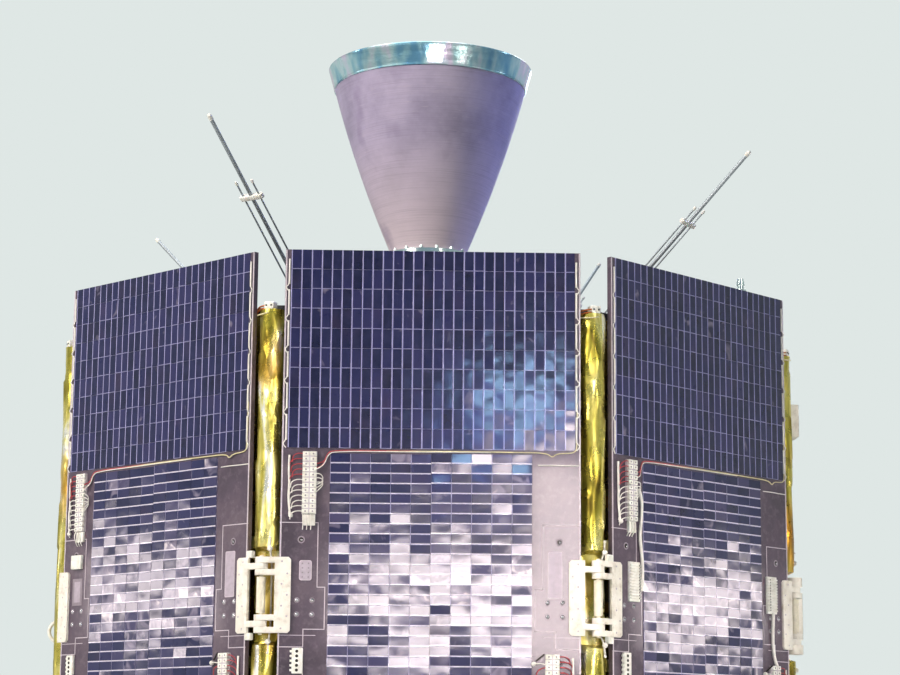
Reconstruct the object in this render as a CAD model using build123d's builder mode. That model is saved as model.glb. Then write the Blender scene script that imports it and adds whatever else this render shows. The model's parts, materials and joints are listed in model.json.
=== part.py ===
from build123d import *
from math import cos, sin, tan, radians
import os

# Octagonal satellite standing on its adapter ring, motor nozzle upwards.
# Two wings of three solar panels are wrapped round a blanketed body, one over the
# front sides and one over the rear sides. Each hangs on a boom that lies on the
# bare right or left side, and unfolds on upright hinges in the corner gaps.
# Millimetres. Z is up, the origin is the centre of the adapter ring's foot, and
# the front panel faces -Y. Azimuths run from -Y towards +X.

os.makedirs("parts", exist_ok=True)

# Solar panels: their width and the gaps at the corners set the size of the octagon
side_count = 8
panel_width = 600
panel_height = 1420
panel_thickness = 10
panel_bottom = 60
corner_gap = 38

# Solar cells lie in blocks on each panel: upright cells at both ends, flat ones between
cell_thickness = 1
block_gap = 1
array_margin = 11.5
array_gap = 10.4
end_blocks = 4
end_block_height = 407
middle_columns = 2
middle_rows = 4
middle_margin = 97.5

# Terminal boards on the bare panel margins
board_width = 29
board_length = 126
board_thickness = 4
strip_width = 17
strip_margin = 4
strip_height = 6
board_margin = 57
upper_board_drop = 60
lower_board_rise = 127

# Hold-down posts behind each panel
post_side = 24
post_margin = 43
post_height_offset = 120
post_clearance = 0.3

# Body, its corner columns and the decks
panel_stand_off = 46
column_radius = 26
column_outset = 33
column_flat = 23
deck_drop = 108
deck_thickness = 14
deck_overhang = 4
hinge_recess_clearance = 26
hinge_recess_height = 192

# Hinges
hinge_rise = 9
pin_outset = 60
pin_radius = 4
pin_length = 157
pin_clearance = 0.06
knuckle_radius = 13
barrel_radius = 9
barrel_length = 71
leaf_height = 150
leaf_inset = 24
leaf_overhang = 8
leaf_thickness = 6
leaf_chamfer = 5
arm_offset = 57
arm_height = 12
lug_height = 11.5
knuckle_gap = 0.5
edge_clearance = 3

# Booms and the drives that carry them on the right and left sides
boom_lug_radius = 17
boom_lug_height = 20
boom_block_width = 20
boom_block_outset = 12
boom_block_half = 50
boom_root_half = 36
boom_root_length = 52
boom_knuckle_radius = 12
boom_rim = 15
boom_thickness = 20
ear_thickness = 12
ear_gap = 0.5
bracket_half_width = 34
bracket_thickness = 8
drive_radius = 72
drive_length = 10
drive_pin_end = 4

# Apogee motor and its nozzle
motor_radius = 300
motor_length = 672
motor_clearance = 1
motor_skirt_radius = 335
motor_skirt_thickness = 8
dome_height = 135
dome_steps = 6
neck_radius = 62
neck_flare = 20
throat_radius = 36
throat_depth = 60
nozzle_rise = 172
nozzle_flange_radius = 100
nozzle_flange_thickness = 12
cone_base_radius = 88.5
cone_top_radius = 230.4
cone_height = 407
cone_swell = 8.4
cone_wall = 6
lip_radius = 246.5
lip_height = 52
lip_proud = 2.5
lip_wall = 6

# Whip antennas
antenna_count = 4
antenna_azimuth = 56
antenna_base_radius = 410
antenna_tip_radius = 847
antenna_rise = 410
whip_radius = 4.25
rod_radius = 2
rod_offset = 21
rod_end = 430
spacer_place = 385
spacer_length = 60
spacer_depth = 14
spacer_thickness = 10
spacer_chamfer = 4
foot_length = 64
foot_width = 44
foot_thickness = 10
foot_chamfer = 6
socket_radius = 7
rod_socket_radius = 5
socket_length = 12
socket_sink = 6

# Adapter ring
adapter_height = 168
adapter_radius = 470
adapter_wall = 8
adapter_flange_radius = 496
adapter_flange_thickness = 10
adapter_hole_radius = 4.5
adapter_hole_circle = 483
adapter_hole_count = 12

# Small fittings on the columns and the bare sides
corner_block_width = 21
corner_block_depth = 20
corner_block_height = 16
corner_block_outset = 12
sensor_width = 60
sensor_depth = 68
sensor_height = 74
sensor_azimuth = 90
sensor_shift = -242
sensor_drop = 149
loop_radius = 27
loop_thickness = 8
loop_reach = 63
loop_margin = 22
loop_middle = 732

half_turn = 180 / side_count
panel_middle = panel_bottom + panel_height / 2
hinge_middle = panel_middle + hinge_rise
panel_apothem = (panel_width / 2 + corner_gap) / tan(radians(half_turn))
body_apothem = panel_apothem - panel_stand_off
column_centre = panel_apothem + column_outset
column_face = column_centre - column_flat
pin_circle = panel_apothem + pin_outset
pin_across = pin_circle * sin(radians(half_turn))
pin_outward = pin_circle * cos(radians(half_turn))
recess_face = pin_circle - hinge_recess_clearance
deck_top = panel_bottom + panel_height - deck_drop
body_top = deck_top - deck_thickness
lower_deck_bottom = adapter_height
body_bottom = lower_deck_bottom + deck_thickness
sensor_middle = deck_top - sensor_drop
loop_shift = panel_width / 2 - loop_margin


def outward(azimuth):
    return Vector(sin(radians(azimuth)), -cos(radians(azimuth)), 0)


def along(azimuth):
    return Vector(cos(radians(azimuth)), sin(radians(azimuth)), 0)


def face_plane(azimuth, apothem, height):
    # x runs along the panel, y is up and z points outwards
    return Plane(outward(azimuth) * apothem + Vector(0, 0, height), along(azimuth), outward(azimuth))


def plan_plane(azimuth, height):
    # x runs along the panel, y points outwards and z is down
    return Plane(Vector(0, 0, height), along(azimuth), Vector(0, 0, -1))


def save(piece, name):
    piece.label = name
    export_step(piece, f"parts/{name}.step")


def leaf_plate(azimuth, side):
    # The corners away from the pin are cut off
    inner = side * (panel_width / 2 - leaf_inset)
    outer = side * (panel_width / 2 + leaf_overhang)
    top = leaf_height / 2
    cut_across = inner + side * leaf_chamfer
    with BuildSketch(face_plane(azimuth, panel_apothem, hinge_middle)) as plate:
        with BuildLine():
            Polyline(
                (outer, top),
                (cut_across, top),
                (inner, top - leaf_chamfer),
                (inner, leaf_chamfer - top),
                (cut_across, -top),
                (outer, -top),
                close=True,
            )
        make_face()
    extrude(plate.sketch, amount=leaf_thickness)


def knuckle(azimuth, side, top, height, radius, bore):
    # top is its height above the middle of the hinge. It reaches from the leaf round the pin
    root_across = side * (panel_width / 2 + (leaf_overhang + edge_clearance) / 2)
    with BuildSketch(plan_plane(azimuth, hinge_middle + top)) as profile:
        with Locations((side * pin_across, pin_outward)):
            Circle(radius)
        with Locations((root_across, panel_apothem + leaf_thickness / 2)):
            Rectangle(leaf_overhang - edge_clearance, leaf_thickness)
        make_hull(profile.sketch_local.edges())
        with Locations((side * pin_across, pin_outward)):
            Circle(bore, mode=Mode.SUBTRACT)
    extrude(profile.sketch, amount=height)


lug_step = arm_height / 2 + knuckle_gap
arm_tops = [arm_offset + arm_height / 2, -arm_offset + arm_height / 2]
# Lugs stand above and below each arm: the tops of the two outer ones, then of the two inner ones
outer_lug_tops = [arm_offset + lug_step + lug_height, -arm_offset - lug_step]
inner_lug_tops = [arm_offset - lug_step, -arm_offset + lug_step + lug_height]


def hinge_pin(azimuth):
    # A pin through the lugs on the left edge, with a spring barrel between them
    axis_point = outward(azimuth) * pin_outward - along(azimuth) * pin_across
    middle = Plane(axis_point + Vector(0, 0, hinge_middle), along(azimuth), Vector(0, 0, 1))
    for radius, length in ((pin_radius, pin_length), (barrel_radius, barrel_length)):
        with BuildSketch(middle) as section:
            Circle(radius)
        extrude(section.sketch, amount=length / 2, both=True)


# Panels: name, azimuth, what the left edge carries beside its leaf. Each right edge
# has arms, which turn between the lugs of the panel or boom next to it.
panels = [
    ("front_right", 45, "lugs"),
    ("front", 0, "lugs"),
    ("front_left", -45, "nothing"),
    ("rear_left", -135, "lugs"),
    ("rear", 180, "lugs"),
    ("rear_right", 135, "nothing"),
]

# Booms: name, azimuth of the side that each lies on
booms = [("right", 90), ("left", -90)]

end_block_width = (panel_width - 2 * array_margin) / end_blocks
end_middle = (panel_height - end_block_height) / 2
middle_height = panel_height - 2 * (end_block_height + array_gap)
middle_block_width = (panel_width - 2 * middle_margin) / middle_columns
middle_block_height = middle_height / middle_rows
board_across = panel_width / 2 - board_margin
upper_board_up = middle_height / 2 - upper_board_drop
lower_board_up = lower_board_rise - middle_height / 2

for name, azimuth, left_edge in panels:
    face = face_plane(azimuth, panel_apothem, panel_middle)

    with BuildPart() as substrate:
        with BuildSketch(face):
            Rectangle(panel_width, panel_height)
        extrude(amount=-panel_thickness)
    save(substrate.part, f"panel_{name}")

    with BuildPart() as cells:
        with BuildSketch(face):
            with Locations((0, end_middle), (0, -end_middle)):
                with GridLocations(end_block_width, end_block_height, end_blocks, 1):
                    Rectangle(end_block_width - block_gap, end_block_height - block_gap)
            with GridLocations(middle_block_width, middle_block_height, middle_columns, middle_rows):
                Rectangle(middle_block_width - block_gap, middle_block_height - block_gap)
        extrude(amount=cell_thickness)
    save(cells.part, f"cells_{name}")

    # The upper board is left of the flat cells and the lower one right of them
    board_places = [(-board_across, upper_board_up), (board_across, lower_board_up)]
    with BuildPart() as boards:
        with BuildSketch(face):
            with Locations(*board_places):
                Rectangle(board_width, board_length)
        extrude(amount=board_thickness)
        with BuildSketch(face.offset(board_thickness)):
            with Locations(*board_places):
                Rectangle(strip_width, board_length - 2 * strip_margin)
        extrude(amount=strip_height)
    save(boards.part, f"terminal_boards_{name}")

    with BuildPart() as leaves:
        leaf_plate(azimuth, 1)
        for top in arm_tops:
            knuckle(azimuth, 1, top, arm_height, knuckle_radius, pin_radius + pin_clearance)
        leaf_plate(azimuth, -1)
        if left_edge == "lugs":
            for top in outer_lug_tops + inner_lug_tops:
                knuckle(azimuth, -1, top, lug_height, knuckle_radius, pin_radius)
    save(leaves.part, f"hinge_leaves_{name}")

    if left_edge == "lugs":
        with BuildPart() as pin:
            hinge_pin(azimuth)
        save(pin.part, f"hinge_pin_{name}")

# Booms: a tapering plate with a window. The end is a deep block with tall lugs for the
# root panel's arms, and the root is a knuckle on the drive's pin.
boom_middle = panel_apothem - panel_thickness / 2
boom_face = boom_middle + boom_thickness / 2
boom_end = panel_width / 2
block_inner = boom_end - boom_block_width
block_depth = boom_thickness + boom_block_outset
block_face = boom_middle - boom_thickness / 2 + block_depth
window_root_half = boom_root_half - boom_rim
window_end_half = boom_block_half - boom_rim
for name, azimuth in booms:
    with BuildPart() as boom:
        with BuildSketch(face_plane(azimuth, boom_face, hinge_middle)):
            with BuildLine():
                Polyline(
                    (0, boom_root_half),
                    (-boom_root_length, boom_root_half),
                    (-block_inner, boom_block_half),
                    (-block_inner, -boom_block_half),
                    (-boom_root_length, -boom_root_half),
                    (0, -boom_root_half),
                    close=True,
                )
            make_face()
            with BuildLine():
                Polyline(
                    (-boom_root_length, window_root_half),
                    (-block_inner + boom_rim, window_end_half),
                    (-block_inner + boom_rim, -window_end_half),
                    (-boom_root_length, -window_root_half),
                    close=True,
                )
            make_face(mode=Mode.SUBTRACT)
        extrude(amount=-boom_thickness)
        with BuildSketch(face_plane(azimuth, block_face, hinge_middle)):
            with Locations((-boom_end + boom_block_width / 2, 0)):
                Rectangle(boom_block_width, 2 * boom_block_half)
        extrude(amount=-block_depth)
        leaf_plate(azimuth, -1)
        for top in outer_lug_tops:
            outer_top = top if top < 0 else top - lug_height + boom_lug_height
            knuckle(azimuth, -1, outer_top, boom_lug_height, boom_lug_radius, pin_radius)
        for top in inner_lug_tops:
            knuckle(azimuth, -1, top, lug_height, boom_lug_radius, pin_radius)
        with BuildSketch(plan_plane(azimuth, hinge_middle + boom_root_half)) as root:
            with Locations((0, boom_middle)):
                Circle(boom_knuckle_radius)
        extrude(root.sketch, amount=2 * boom_root_half)
        with BuildSketch(plan_plane(azimuth, hinge_middle + boom_root_half)) as bore:
            with Locations((0, boom_middle)):
                Circle(pin_radius + pin_clearance)
        extrude(bore.sketch, amount=2 * boom_root_half, mode=Mode.SUBTRACT)
    save(boom.part, f"boom_{name}")

    with BuildPart() as pin:
        hinge_pin(azimuth)
    save(pin.part, f"hinge_pin_boom_{name}")

# Drives: a disc on the body's side, and a fork whose ears hold the boom's root
drive_face = body_apothem + drive_length
ear_top = boom_root_half + ear_gap + ear_thickness
with BuildPart() as drives:
    for name, azimuth in booms:
        with BuildSketch(face_plane(azimuth, body_apothem, hinge_middle)):
            Circle(drive_radius)
        extrude(amount=drive_length)
        with BuildSketch(face_plane(azimuth, drive_face, hinge_middle)):
            Rectangle(2 * bracket_half_width, 2 * ear_top)
        extrude(amount=bracket_thickness)
        for level in (ear_top, -ear_top + ear_thickness):
            with BuildSketch(plan_plane(azimuth, hinge_middle + level)) as ear:
                with Locations((0, boom_middle)):
                    Circle(boom_knuckle_radius)
                with Locations((0, drive_face + bracket_thickness / 2)):
                    Rectangle(2 * bracket_half_width, bracket_thickness)
                make_hull(ear.sketch_local.edges())
                with Locations((0, boom_middle)):
                    Circle(pin_radius, mode=Mode.SUBTRACT)
            extrude(amount=ear_thickness)
save(drives.part, "boom_drives")

pin_top = ear_top + drive_pin_end
with BuildPart() as drive_pins:
    for name, azimuth in booms:
        with BuildSketch(plan_plane(azimuth, hinge_middle + pin_top)):
            with Locations((0, boom_middle)):
                Circle(pin_radius)
        extrude(amount=2 * pin_top)
save(drive_pins.part, "boom_drive_pins")

# Blanketed body: an octagon with cut corners, each carrying a column in three lengths.
# The middle lengths are cut back behind the hinges.
corner_radius = body_apothem / cos(radians(half_turn))
cutter_width = 4 * column_radius
with BuildPart() as body:
    with BuildSketch(Plane.XY.offset(body_bottom)):
        RegularPolygon(corner_radius, side_count, rotation=half_turn)
        with PolarLocations(column_face + column_radius, side_count, start_angle=half_turn):
            Rectangle(2 * column_radius, cutter_width, mode=Mode.SUBTRACT)
    extrude(amount=body_top - body_bottom)
    with BuildSketch(Plane.XY.offset(body_top)):
        Circle(motor_radius + motor_clearance)
    extrude(amount=-motor_length + deck_thickness, mode=Mode.SUBTRACT)
save(body.part, "body_blanket")

# Corners: azimuth, whether a hinge stands in front of it
corners = [
    (-157.5, True),
    (-112.5, True),
    (-67.5, False),
    (-22.5, True),
    (22.5, True),
    (67.5, True),
    (112.5, False),
    (157.5, True),
]
recess_bottom = hinge_middle - hinge_recess_height / 2
recess_top = hinge_middle + hinge_recess_height / 2
# Column lengths: name, bottom, top, whether cut back at the hinges
column_lengths = [
    ("lower", body_bottom, recess_bottom, False),
    ("middle", recess_bottom, recess_top, True),
    ("upper", recess_top, body_top, False),
]
for name, bottom, top, cut_back in column_lengths:
    with BuildPart() as columns:
        for azimuth, hinged in corners:
            with BuildSketch(plan_plane(azimuth, top)):
                with Locations((0, column_centre)):
                    Circle(column_radius)
                with Locations((0, column_face - column_radius)):
                    Rectangle(cutter_width, 2 * column_radius, mode=Mode.SUBTRACT)
                if cut_back and hinged:
                    with Locations((0, recess_face + column_radius)):
                        Rectangle(cutter_width, 2 * column_radius, mode=Mode.SUBTRACT)
            extrude(amount=top - bottom)
    save(columns.part, f"corner_columns_{name}")

deck_corner_radius = (body_apothem + deck_overhang) / cos(radians(half_turn))
with BuildPart() as upper_deck:
    with BuildSketch(Plane.XY.offset(body_top)):
        RegularPolygon(deck_corner_radius, side_count, rotation=half_turn)
        Circle(motor_radius + motor_clearance, mode=Mode.SUBTRACT)
    extrude(amount=deck_thickness)
save(upper_deck.part, "upper_deck")

with BuildPart() as lower_deck:
    with BuildSketch(Plane.XY.offset(lower_deck_bottom)):
        RegularPolygon(deck_corner_radius, side_count, rotation=half_turn)
    extrude(amount=deck_thickness)
save(lower_deck.part, "lower_deck")

post_across = 2 * (panel_width / 2 - post_margin)
post_length = panel_stand_off - panel_thickness - post_clearance
with BuildPart() as posts:
    for name, azimuth, left_edge in panels:
        with BuildSketch(face_plane(azimuth, body_apothem, panel_middle)):
            with GridLocations(post_across, 2 * post_height_offset, 2, 2):
                Rectangle(post_side, post_side)
        extrude(amount=post_length)
save(posts.part, "hold_down_posts")

# Motor case: a plain drum inside the body, and its dome, neck and flange above the deck
nozzle_base = panel_bottom + panel_height + nozzle_rise
flange_bottom = nozzle_base - nozzle_flange_thickness
skirt_top = deck_top + motor_skirt_thickness
dome_points = []
for step in range(dome_steps + 1):
    angle = radians(90 * step / dome_steps)
    dome_radius = neck_radius + (motor_radius - neck_radius) * cos(angle)
    dome_points.append((dome_radius, skirt_top + dome_height * sin(angle)))
with BuildPart() as motor:
    with BuildSketch(Plane.XZ):
        with BuildLine():
            Polyline(
                (0, deck_top - motor_length),
                (motor_radius, deck_top - motor_length),
                (motor_radius, deck_top),
                (motor_skirt_radius, deck_top),
                (motor_skirt_radius, skirt_top),
                *dome_points,
                (neck_radius, flange_bottom - neck_flare),
                (nozzle_flange_radius, flange_bottom),
                (nozzle_flange_radius, nozzle_base),
                (throat_radius, nozzle_base),
                (throat_radius, nozzle_base - throat_depth),
                (0, nozzle_base - throat_depth),
                close=True,
            )
        make_face()
    revolve(axis=Axis.Z)
save(motor.part, "motor_case")

# The nozzle is a bell: its wall swells a little beyond a straight cone
cone_top = nozzle_base + cone_height
cone_middle_radius = (cone_base_radius + cone_top_radius) / 2 + cone_swell
with BuildPart() as cone:
    with BuildSketch(Plane.XZ):
        with BuildLine():
            Line((cone_base_radius - cone_wall, nozzle_base), (cone_base_radius, nozzle_base))
            ThreePointArc(
                (cone_base_radius, nozzle_base),
                (cone_middle_radius, (nozzle_base + cone_top) / 2),
                (cone_top_radius, cone_top),
            )
            Line((cone_top_radius, cone_top), (cone_top_radius - cone_wall, cone_top))
            ThreePointArc(
                (cone_top_radius - cone_wall, cone_top),
                (cone_middle_radius - cone_wall, (nozzle_base + cone_top) / 2),
                (cone_base_radius - cone_wall, nozzle_base),
            )
        make_face()
    revolve(axis=Axis.Z)
save(cone.part, "nozzle_cone")

with BuildPart() as lip:
    with BuildSketch(Plane.XZ):
        with BuildLine():
            Polyline(
                (cone_top_radius - cone_wall, cone_top),
                (cone_top_radius + lip_proud, cone_top),
                (lip_radius, cone_top + lip_height),
                (lip_radius - lip_wall, cone_top + lip_height),
                close=True,
            )
        make_face()
    revolve(axis=Axis.Z)
save(lip.part, "nozzle_lip")

# Antennas lean outwards from feet on the deck: a whip between two shorter rods
lean = Vector(antenna_tip_radius - antenna_base_radius, antenna_rise)
whip_length = lean.length
antenna_azimuths = [antenna_azimuth + index * 360 / antenna_count for index in range(antenna_count)]


def whip_plane(azimuth, distance):
    # x runs across the three rods, z along them from the foot
    start = outward(azimuth) * antenna_base_radius + Vector(0, 0, deck_top + foot_thickness)
    reach = outward(azimuth) * (antenna_tip_radius - antenna_base_radius)
    direction = (reach + Vector(0, 0, antenna_rise)).normalized()
    return Plane(start + direction * distance, along(azimuth), direction)


with BuildPart() as whips:
    for azimuth in antenna_azimuths:
        with BuildSketch(whip_plane(azimuth, socket_length)):
            Circle(whip_radius)
        extrude(amount=whip_length - socket_length)
save(whips.part, "antenna_whips")

with BuildPart() as rods:
    for azimuth in antenna_azimuths:
        with BuildSketch(whip_plane(azimuth, socket_length)):
            with Locations((rod_offset, 0), (-rod_offset, 0)):
                Circle(rod_radius)
        extrude(amount=rod_end - socket_length)
save(rods.part, "antenna_rods")

with BuildPart() as spacers:
    for azimuth in antenna_azimuths:
        with BuildSketch(whip_plane(azimuth, spacer_place)):
            outline = Rectangle(spacer_length, spacer_depth)
            chamfer(outline.vertices(), length=spacer_chamfer)
            Circle(whip_radius, mode=Mode.SUBTRACT)
            with Locations((rod_offset, 0), (-rod_offset, 0)):
                Circle(rod_radius, mode=Mode.SUBTRACT)
        extrude(amount=spacer_thickness)
save(spacers.part, "antenna_spacers")

with BuildPart() as feet:
    for azimuth in antenna_azimuths:
        with BuildSketch(plan_plane(azimuth, deck_top + foot_thickness)):
            with Locations((0, antenna_base_radius)):
                outline = Rectangle(foot_length, foot_width)
            chamfer(outline.vertices(), length=foot_chamfer)
        extrude(amount=foot_thickness)
        with BuildSketch(whip_plane(azimuth, -socket_sink)):
            Circle(socket_radius)
            with Locations((rod_offset, 0), (-rod_offset, 0)):
                Circle(rod_socket_radius)
        extrude(amount=socket_length + socket_sink)
save(feet.part, "antenna_feet")

# Corner blocks on the columns, a sensor box on the right side and two tie loops
with BuildPart() as corner_blocks:
    with BuildSketch(Plane.XY.offset(body_top)):
        with PolarLocations(column_centre + corner_block_outset, side_count, start_angle=half_turn):
            Rectangle(corner_block_depth, corner_block_width)
    extrude(amount=corner_block_height)
save(corner_blocks.part, "corner_blocks")

with BuildPart() as sensor:
    with BuildSketch(plan_plane(sensor_azimuth, sensor_middle + sensor_height / 2)):
        with Locations((sensor_shift, body_apothem + sensor_depth / 2)):
            Rectangle(sensor_width, sensor_depth)
    extrude(amount=sensor_height)
save(sensor.part, "sensor_box")

loop_bend = body_apothem + loop_reach - loop_radius
loop_inner = loop_radius - loop_thickness
with BuildPart() as loops:
    for name, azimuth in booms:
        # x points outwards and y down
        middle = along(azimuth) * (loop_shift - loop_thickness / 2) + Vector(0, 0, loop_middle)
        with BuildSketch(Plane(middle, outward(azimuth), along(azimuth))):
            with Locations((loop_bend, 0)):
                Circle(loop_radius)
            with Locations(((body_apothem + loop_bend) / 2, 0)):
                Rectangle(loop_bend - body_apothem, 2 * loop_radius)
            with Locations((loop_bend, 0)):
                Circle(loop_inner, mode=Mode.SUBTRACT)
            with Locations(((body_apothem + loop_bend) / 2, 0)):
                Rectangle(loop_bend - body_apothem, 2 * loop_inner, mode=Mode.SUBTRACT)
        extrude(amount=loop_thickness)
save(loops.part, "tie_loops")

# Adapter ring: a wall between two outward flanges, with bolt holes in the foot
wall_inner = adapter_radius - adapter_wall
upper_flange = adapter_height - adapter_flange_thickness
with BuildPart() as adapter:
    with BuildSketch(Plane.XZ):
        with BuildLine():
            Polyline(
                (wall_inner, 0),
                (adapter_flange_radius, 0),
                (adapter_flange_radius, adapter_flange_thickness),
                (adapter_radius, adapter_flange_thickness),
                (adapter_radius, upper_flange),
                (adapter_flange_radius, upper_flange),
                (adapter_flange_radius, adapter_height),
                (wall_inner, adapter_height),
                close=True,
            )
        make_face()
    revolve(axis=Axis.Z)
    with BuildSketch(Plane.XY):
        with PolarLocations(adapter_hole_circle, adapter_hole_count):
            Circle(adapter_hole_radius)
    extrude(amount=adapter_flange_thickness, mode=Mode.SUBTRACT)
save(adapter.part, "adapter_ring")
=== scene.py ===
# Satellite with two folded solar wings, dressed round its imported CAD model.
# Metres, Z up, the front panel faces -Y. Azimuths run from -Y towards +X.
import json
import math
import random

import bmesh
import bpy
from mathutils import Matrix, Vector, noise

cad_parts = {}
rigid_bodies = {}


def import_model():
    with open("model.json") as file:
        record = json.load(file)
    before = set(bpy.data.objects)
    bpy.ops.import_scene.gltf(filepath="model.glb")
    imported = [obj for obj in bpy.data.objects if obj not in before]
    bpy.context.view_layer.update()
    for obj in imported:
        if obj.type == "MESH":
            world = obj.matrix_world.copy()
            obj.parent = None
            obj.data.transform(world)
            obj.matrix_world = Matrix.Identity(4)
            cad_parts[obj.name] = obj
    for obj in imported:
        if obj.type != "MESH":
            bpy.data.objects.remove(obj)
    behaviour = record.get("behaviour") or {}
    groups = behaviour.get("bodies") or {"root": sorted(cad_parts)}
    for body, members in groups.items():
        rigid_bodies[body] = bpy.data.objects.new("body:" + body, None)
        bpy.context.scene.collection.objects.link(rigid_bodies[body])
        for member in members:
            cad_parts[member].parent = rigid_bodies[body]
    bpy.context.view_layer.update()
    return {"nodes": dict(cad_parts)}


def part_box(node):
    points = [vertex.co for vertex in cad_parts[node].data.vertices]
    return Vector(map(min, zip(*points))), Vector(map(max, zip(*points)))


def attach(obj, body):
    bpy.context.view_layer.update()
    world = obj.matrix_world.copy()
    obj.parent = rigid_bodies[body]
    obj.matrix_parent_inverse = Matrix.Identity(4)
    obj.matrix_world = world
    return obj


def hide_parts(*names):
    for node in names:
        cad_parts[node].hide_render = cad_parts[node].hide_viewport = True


for item in list(bpy.data.objects):
    bpy.data.objects.remove(item)

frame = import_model()

# "beside" is what stands next to a panel's left-hand and right-hand hinge, and "clip" the edge
# that carries wire clips: -1 left, 1 right
panelRows = [
    {"name": "front_right", "azimuth": 45, "pin": True, "beside": ("ribbed", "ribbed"), "clip": -1},
    {"name": "front", "azimuth": 0, "pin": True, "beside": ("rounded", "flat"), "clip": 0},
    {"name": "front_left", "azimuth": -45, "pin": False, "beside": ("boxed", "flat"), "clip": 1},
    {"name": "rear_left", "azimuth": -135, "pin": True, "beside": ("ribbed", "ribbed"), "clip": -1},
    {"name": "rear", "azimuth": 180, "pin": True, "beside": ("rounded", "flat"), "clip": 0},
    {"name": "rear_right", "azimuth": 135, "pin": False, "beside": ("boxed", "flat"), "clip": 1},
]
boomRows = [
    {"name": "right", "azimuth": 90},
    {"name": "left", "azimuth": -90},
]
columnAzimuths = [-157.5 + 45 * index for index in range(8)]
freeColumns = [-67.5, 112.5]  # no hinge stands before these two
boomColumns = [-112.5, 67.5]
hingeColumns = [azimuth for azimuth in columnAzimuths if azimuth not in freeColumns]
antennaAzimuths = [56 + 90 * turn for turn in range(4)]

frontLow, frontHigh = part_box("panel_front")
apothem = -frontLow.y  # from the axis to a panel's outer face
panelMiddle = (frontLow.z + frontHigh.z) / 2
panelHalfWidth = (frontHigh.x - frontLow.x) / 2
panelHalfHeight = (frontHigh.z - frontLow.z) / 2
pinLow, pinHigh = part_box("hinge_pin_front")
hingeMiddle = (pinLow.z + pinHigh.z) / 2
hingeRise = hingeMiddle - panelMiddle  # the hinges sit a little above the middle
bodyLow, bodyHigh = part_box("body_blanket")
bodyApothem = bodyHigh.x
bodyHeight = bodyHigh.z - bodyLow.z
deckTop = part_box("upper_deck")[1].z
coneLow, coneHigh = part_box("nozzle_cone")
halfTurn = math.radians(22.5)


def outward(azimuth):
    turn = math.radians(azimuth)
    return Vector((math.sin(turn), -math.cos(turn), 0))


def along(azimuth):
    turn = math.radians(azimuth)
    return Vector((math.cos(turn), math.sin(turn), 0))


def spotAt(azimuth, distance, shift, height):
    # outwards from the axis, sideways and up
    return outward(azimuth) * distance + along(azimuth) * shift + Vector((0, 0, height))


def ringSpots(count, radius, height, first=0.5):
    # places round the Z axis, the first one a share of a step past +X
    turns = [math.tau * (index + first) / count for index in range(count)]
    return [Vector((math.cos(turn) * radius, math.sin(turn) * radius, height)) for turn in turns]


def spaced(count, pitch):
    # places in an even row about zero
    return [(index - (count - 1) / 2) * pitch for index in range(count)]


def axesMatrix(x, y, z, place):
    return Matrix([[column[row] for column in (x, y, z, place)] for row in range(3)] + [[0, 0, 0, 1]])


def faceMatrix(azimuth):
    # x along the side, y up and z outwards, from the middle of a panel's outer face
    return axesMatrix(along(azimuth), (0, 0, 1), outward(azimuth), spotAt(azimuth, apothem, 0, panelMiddle))


def fromHex(text):
    # a colour as it looks on screen, made linear
    values = [int(text[start:start + 2], 16) / 255 for start in (0, 2, 4)]
    return (*[v / 12.92 if v <= 0.04045 else ((v + 0.055) / 1.055) ** 2.4 for v in values], 1.0)


# Materials

def setSocket(tree, socket, value):
    # links another node's output, or sets the socket's own value
    if isinstance(value, bpy.types.NodeSocket):
        tree.links.new(value, socket)
    else:
        socket.default_value = fromHex(value) if isinstance(value, str) else value


def addNode(tree, kind, inputs=None, **settings):
    node = tree.nodes.new(kind)
    for label, value in settings.items():
        setattr(node, label, value)
    for label, value in (inputs or {}).items():
        setSocket(tree, node.inputs[label], value)
    return node


finish = {}  # every material by its name


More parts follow.
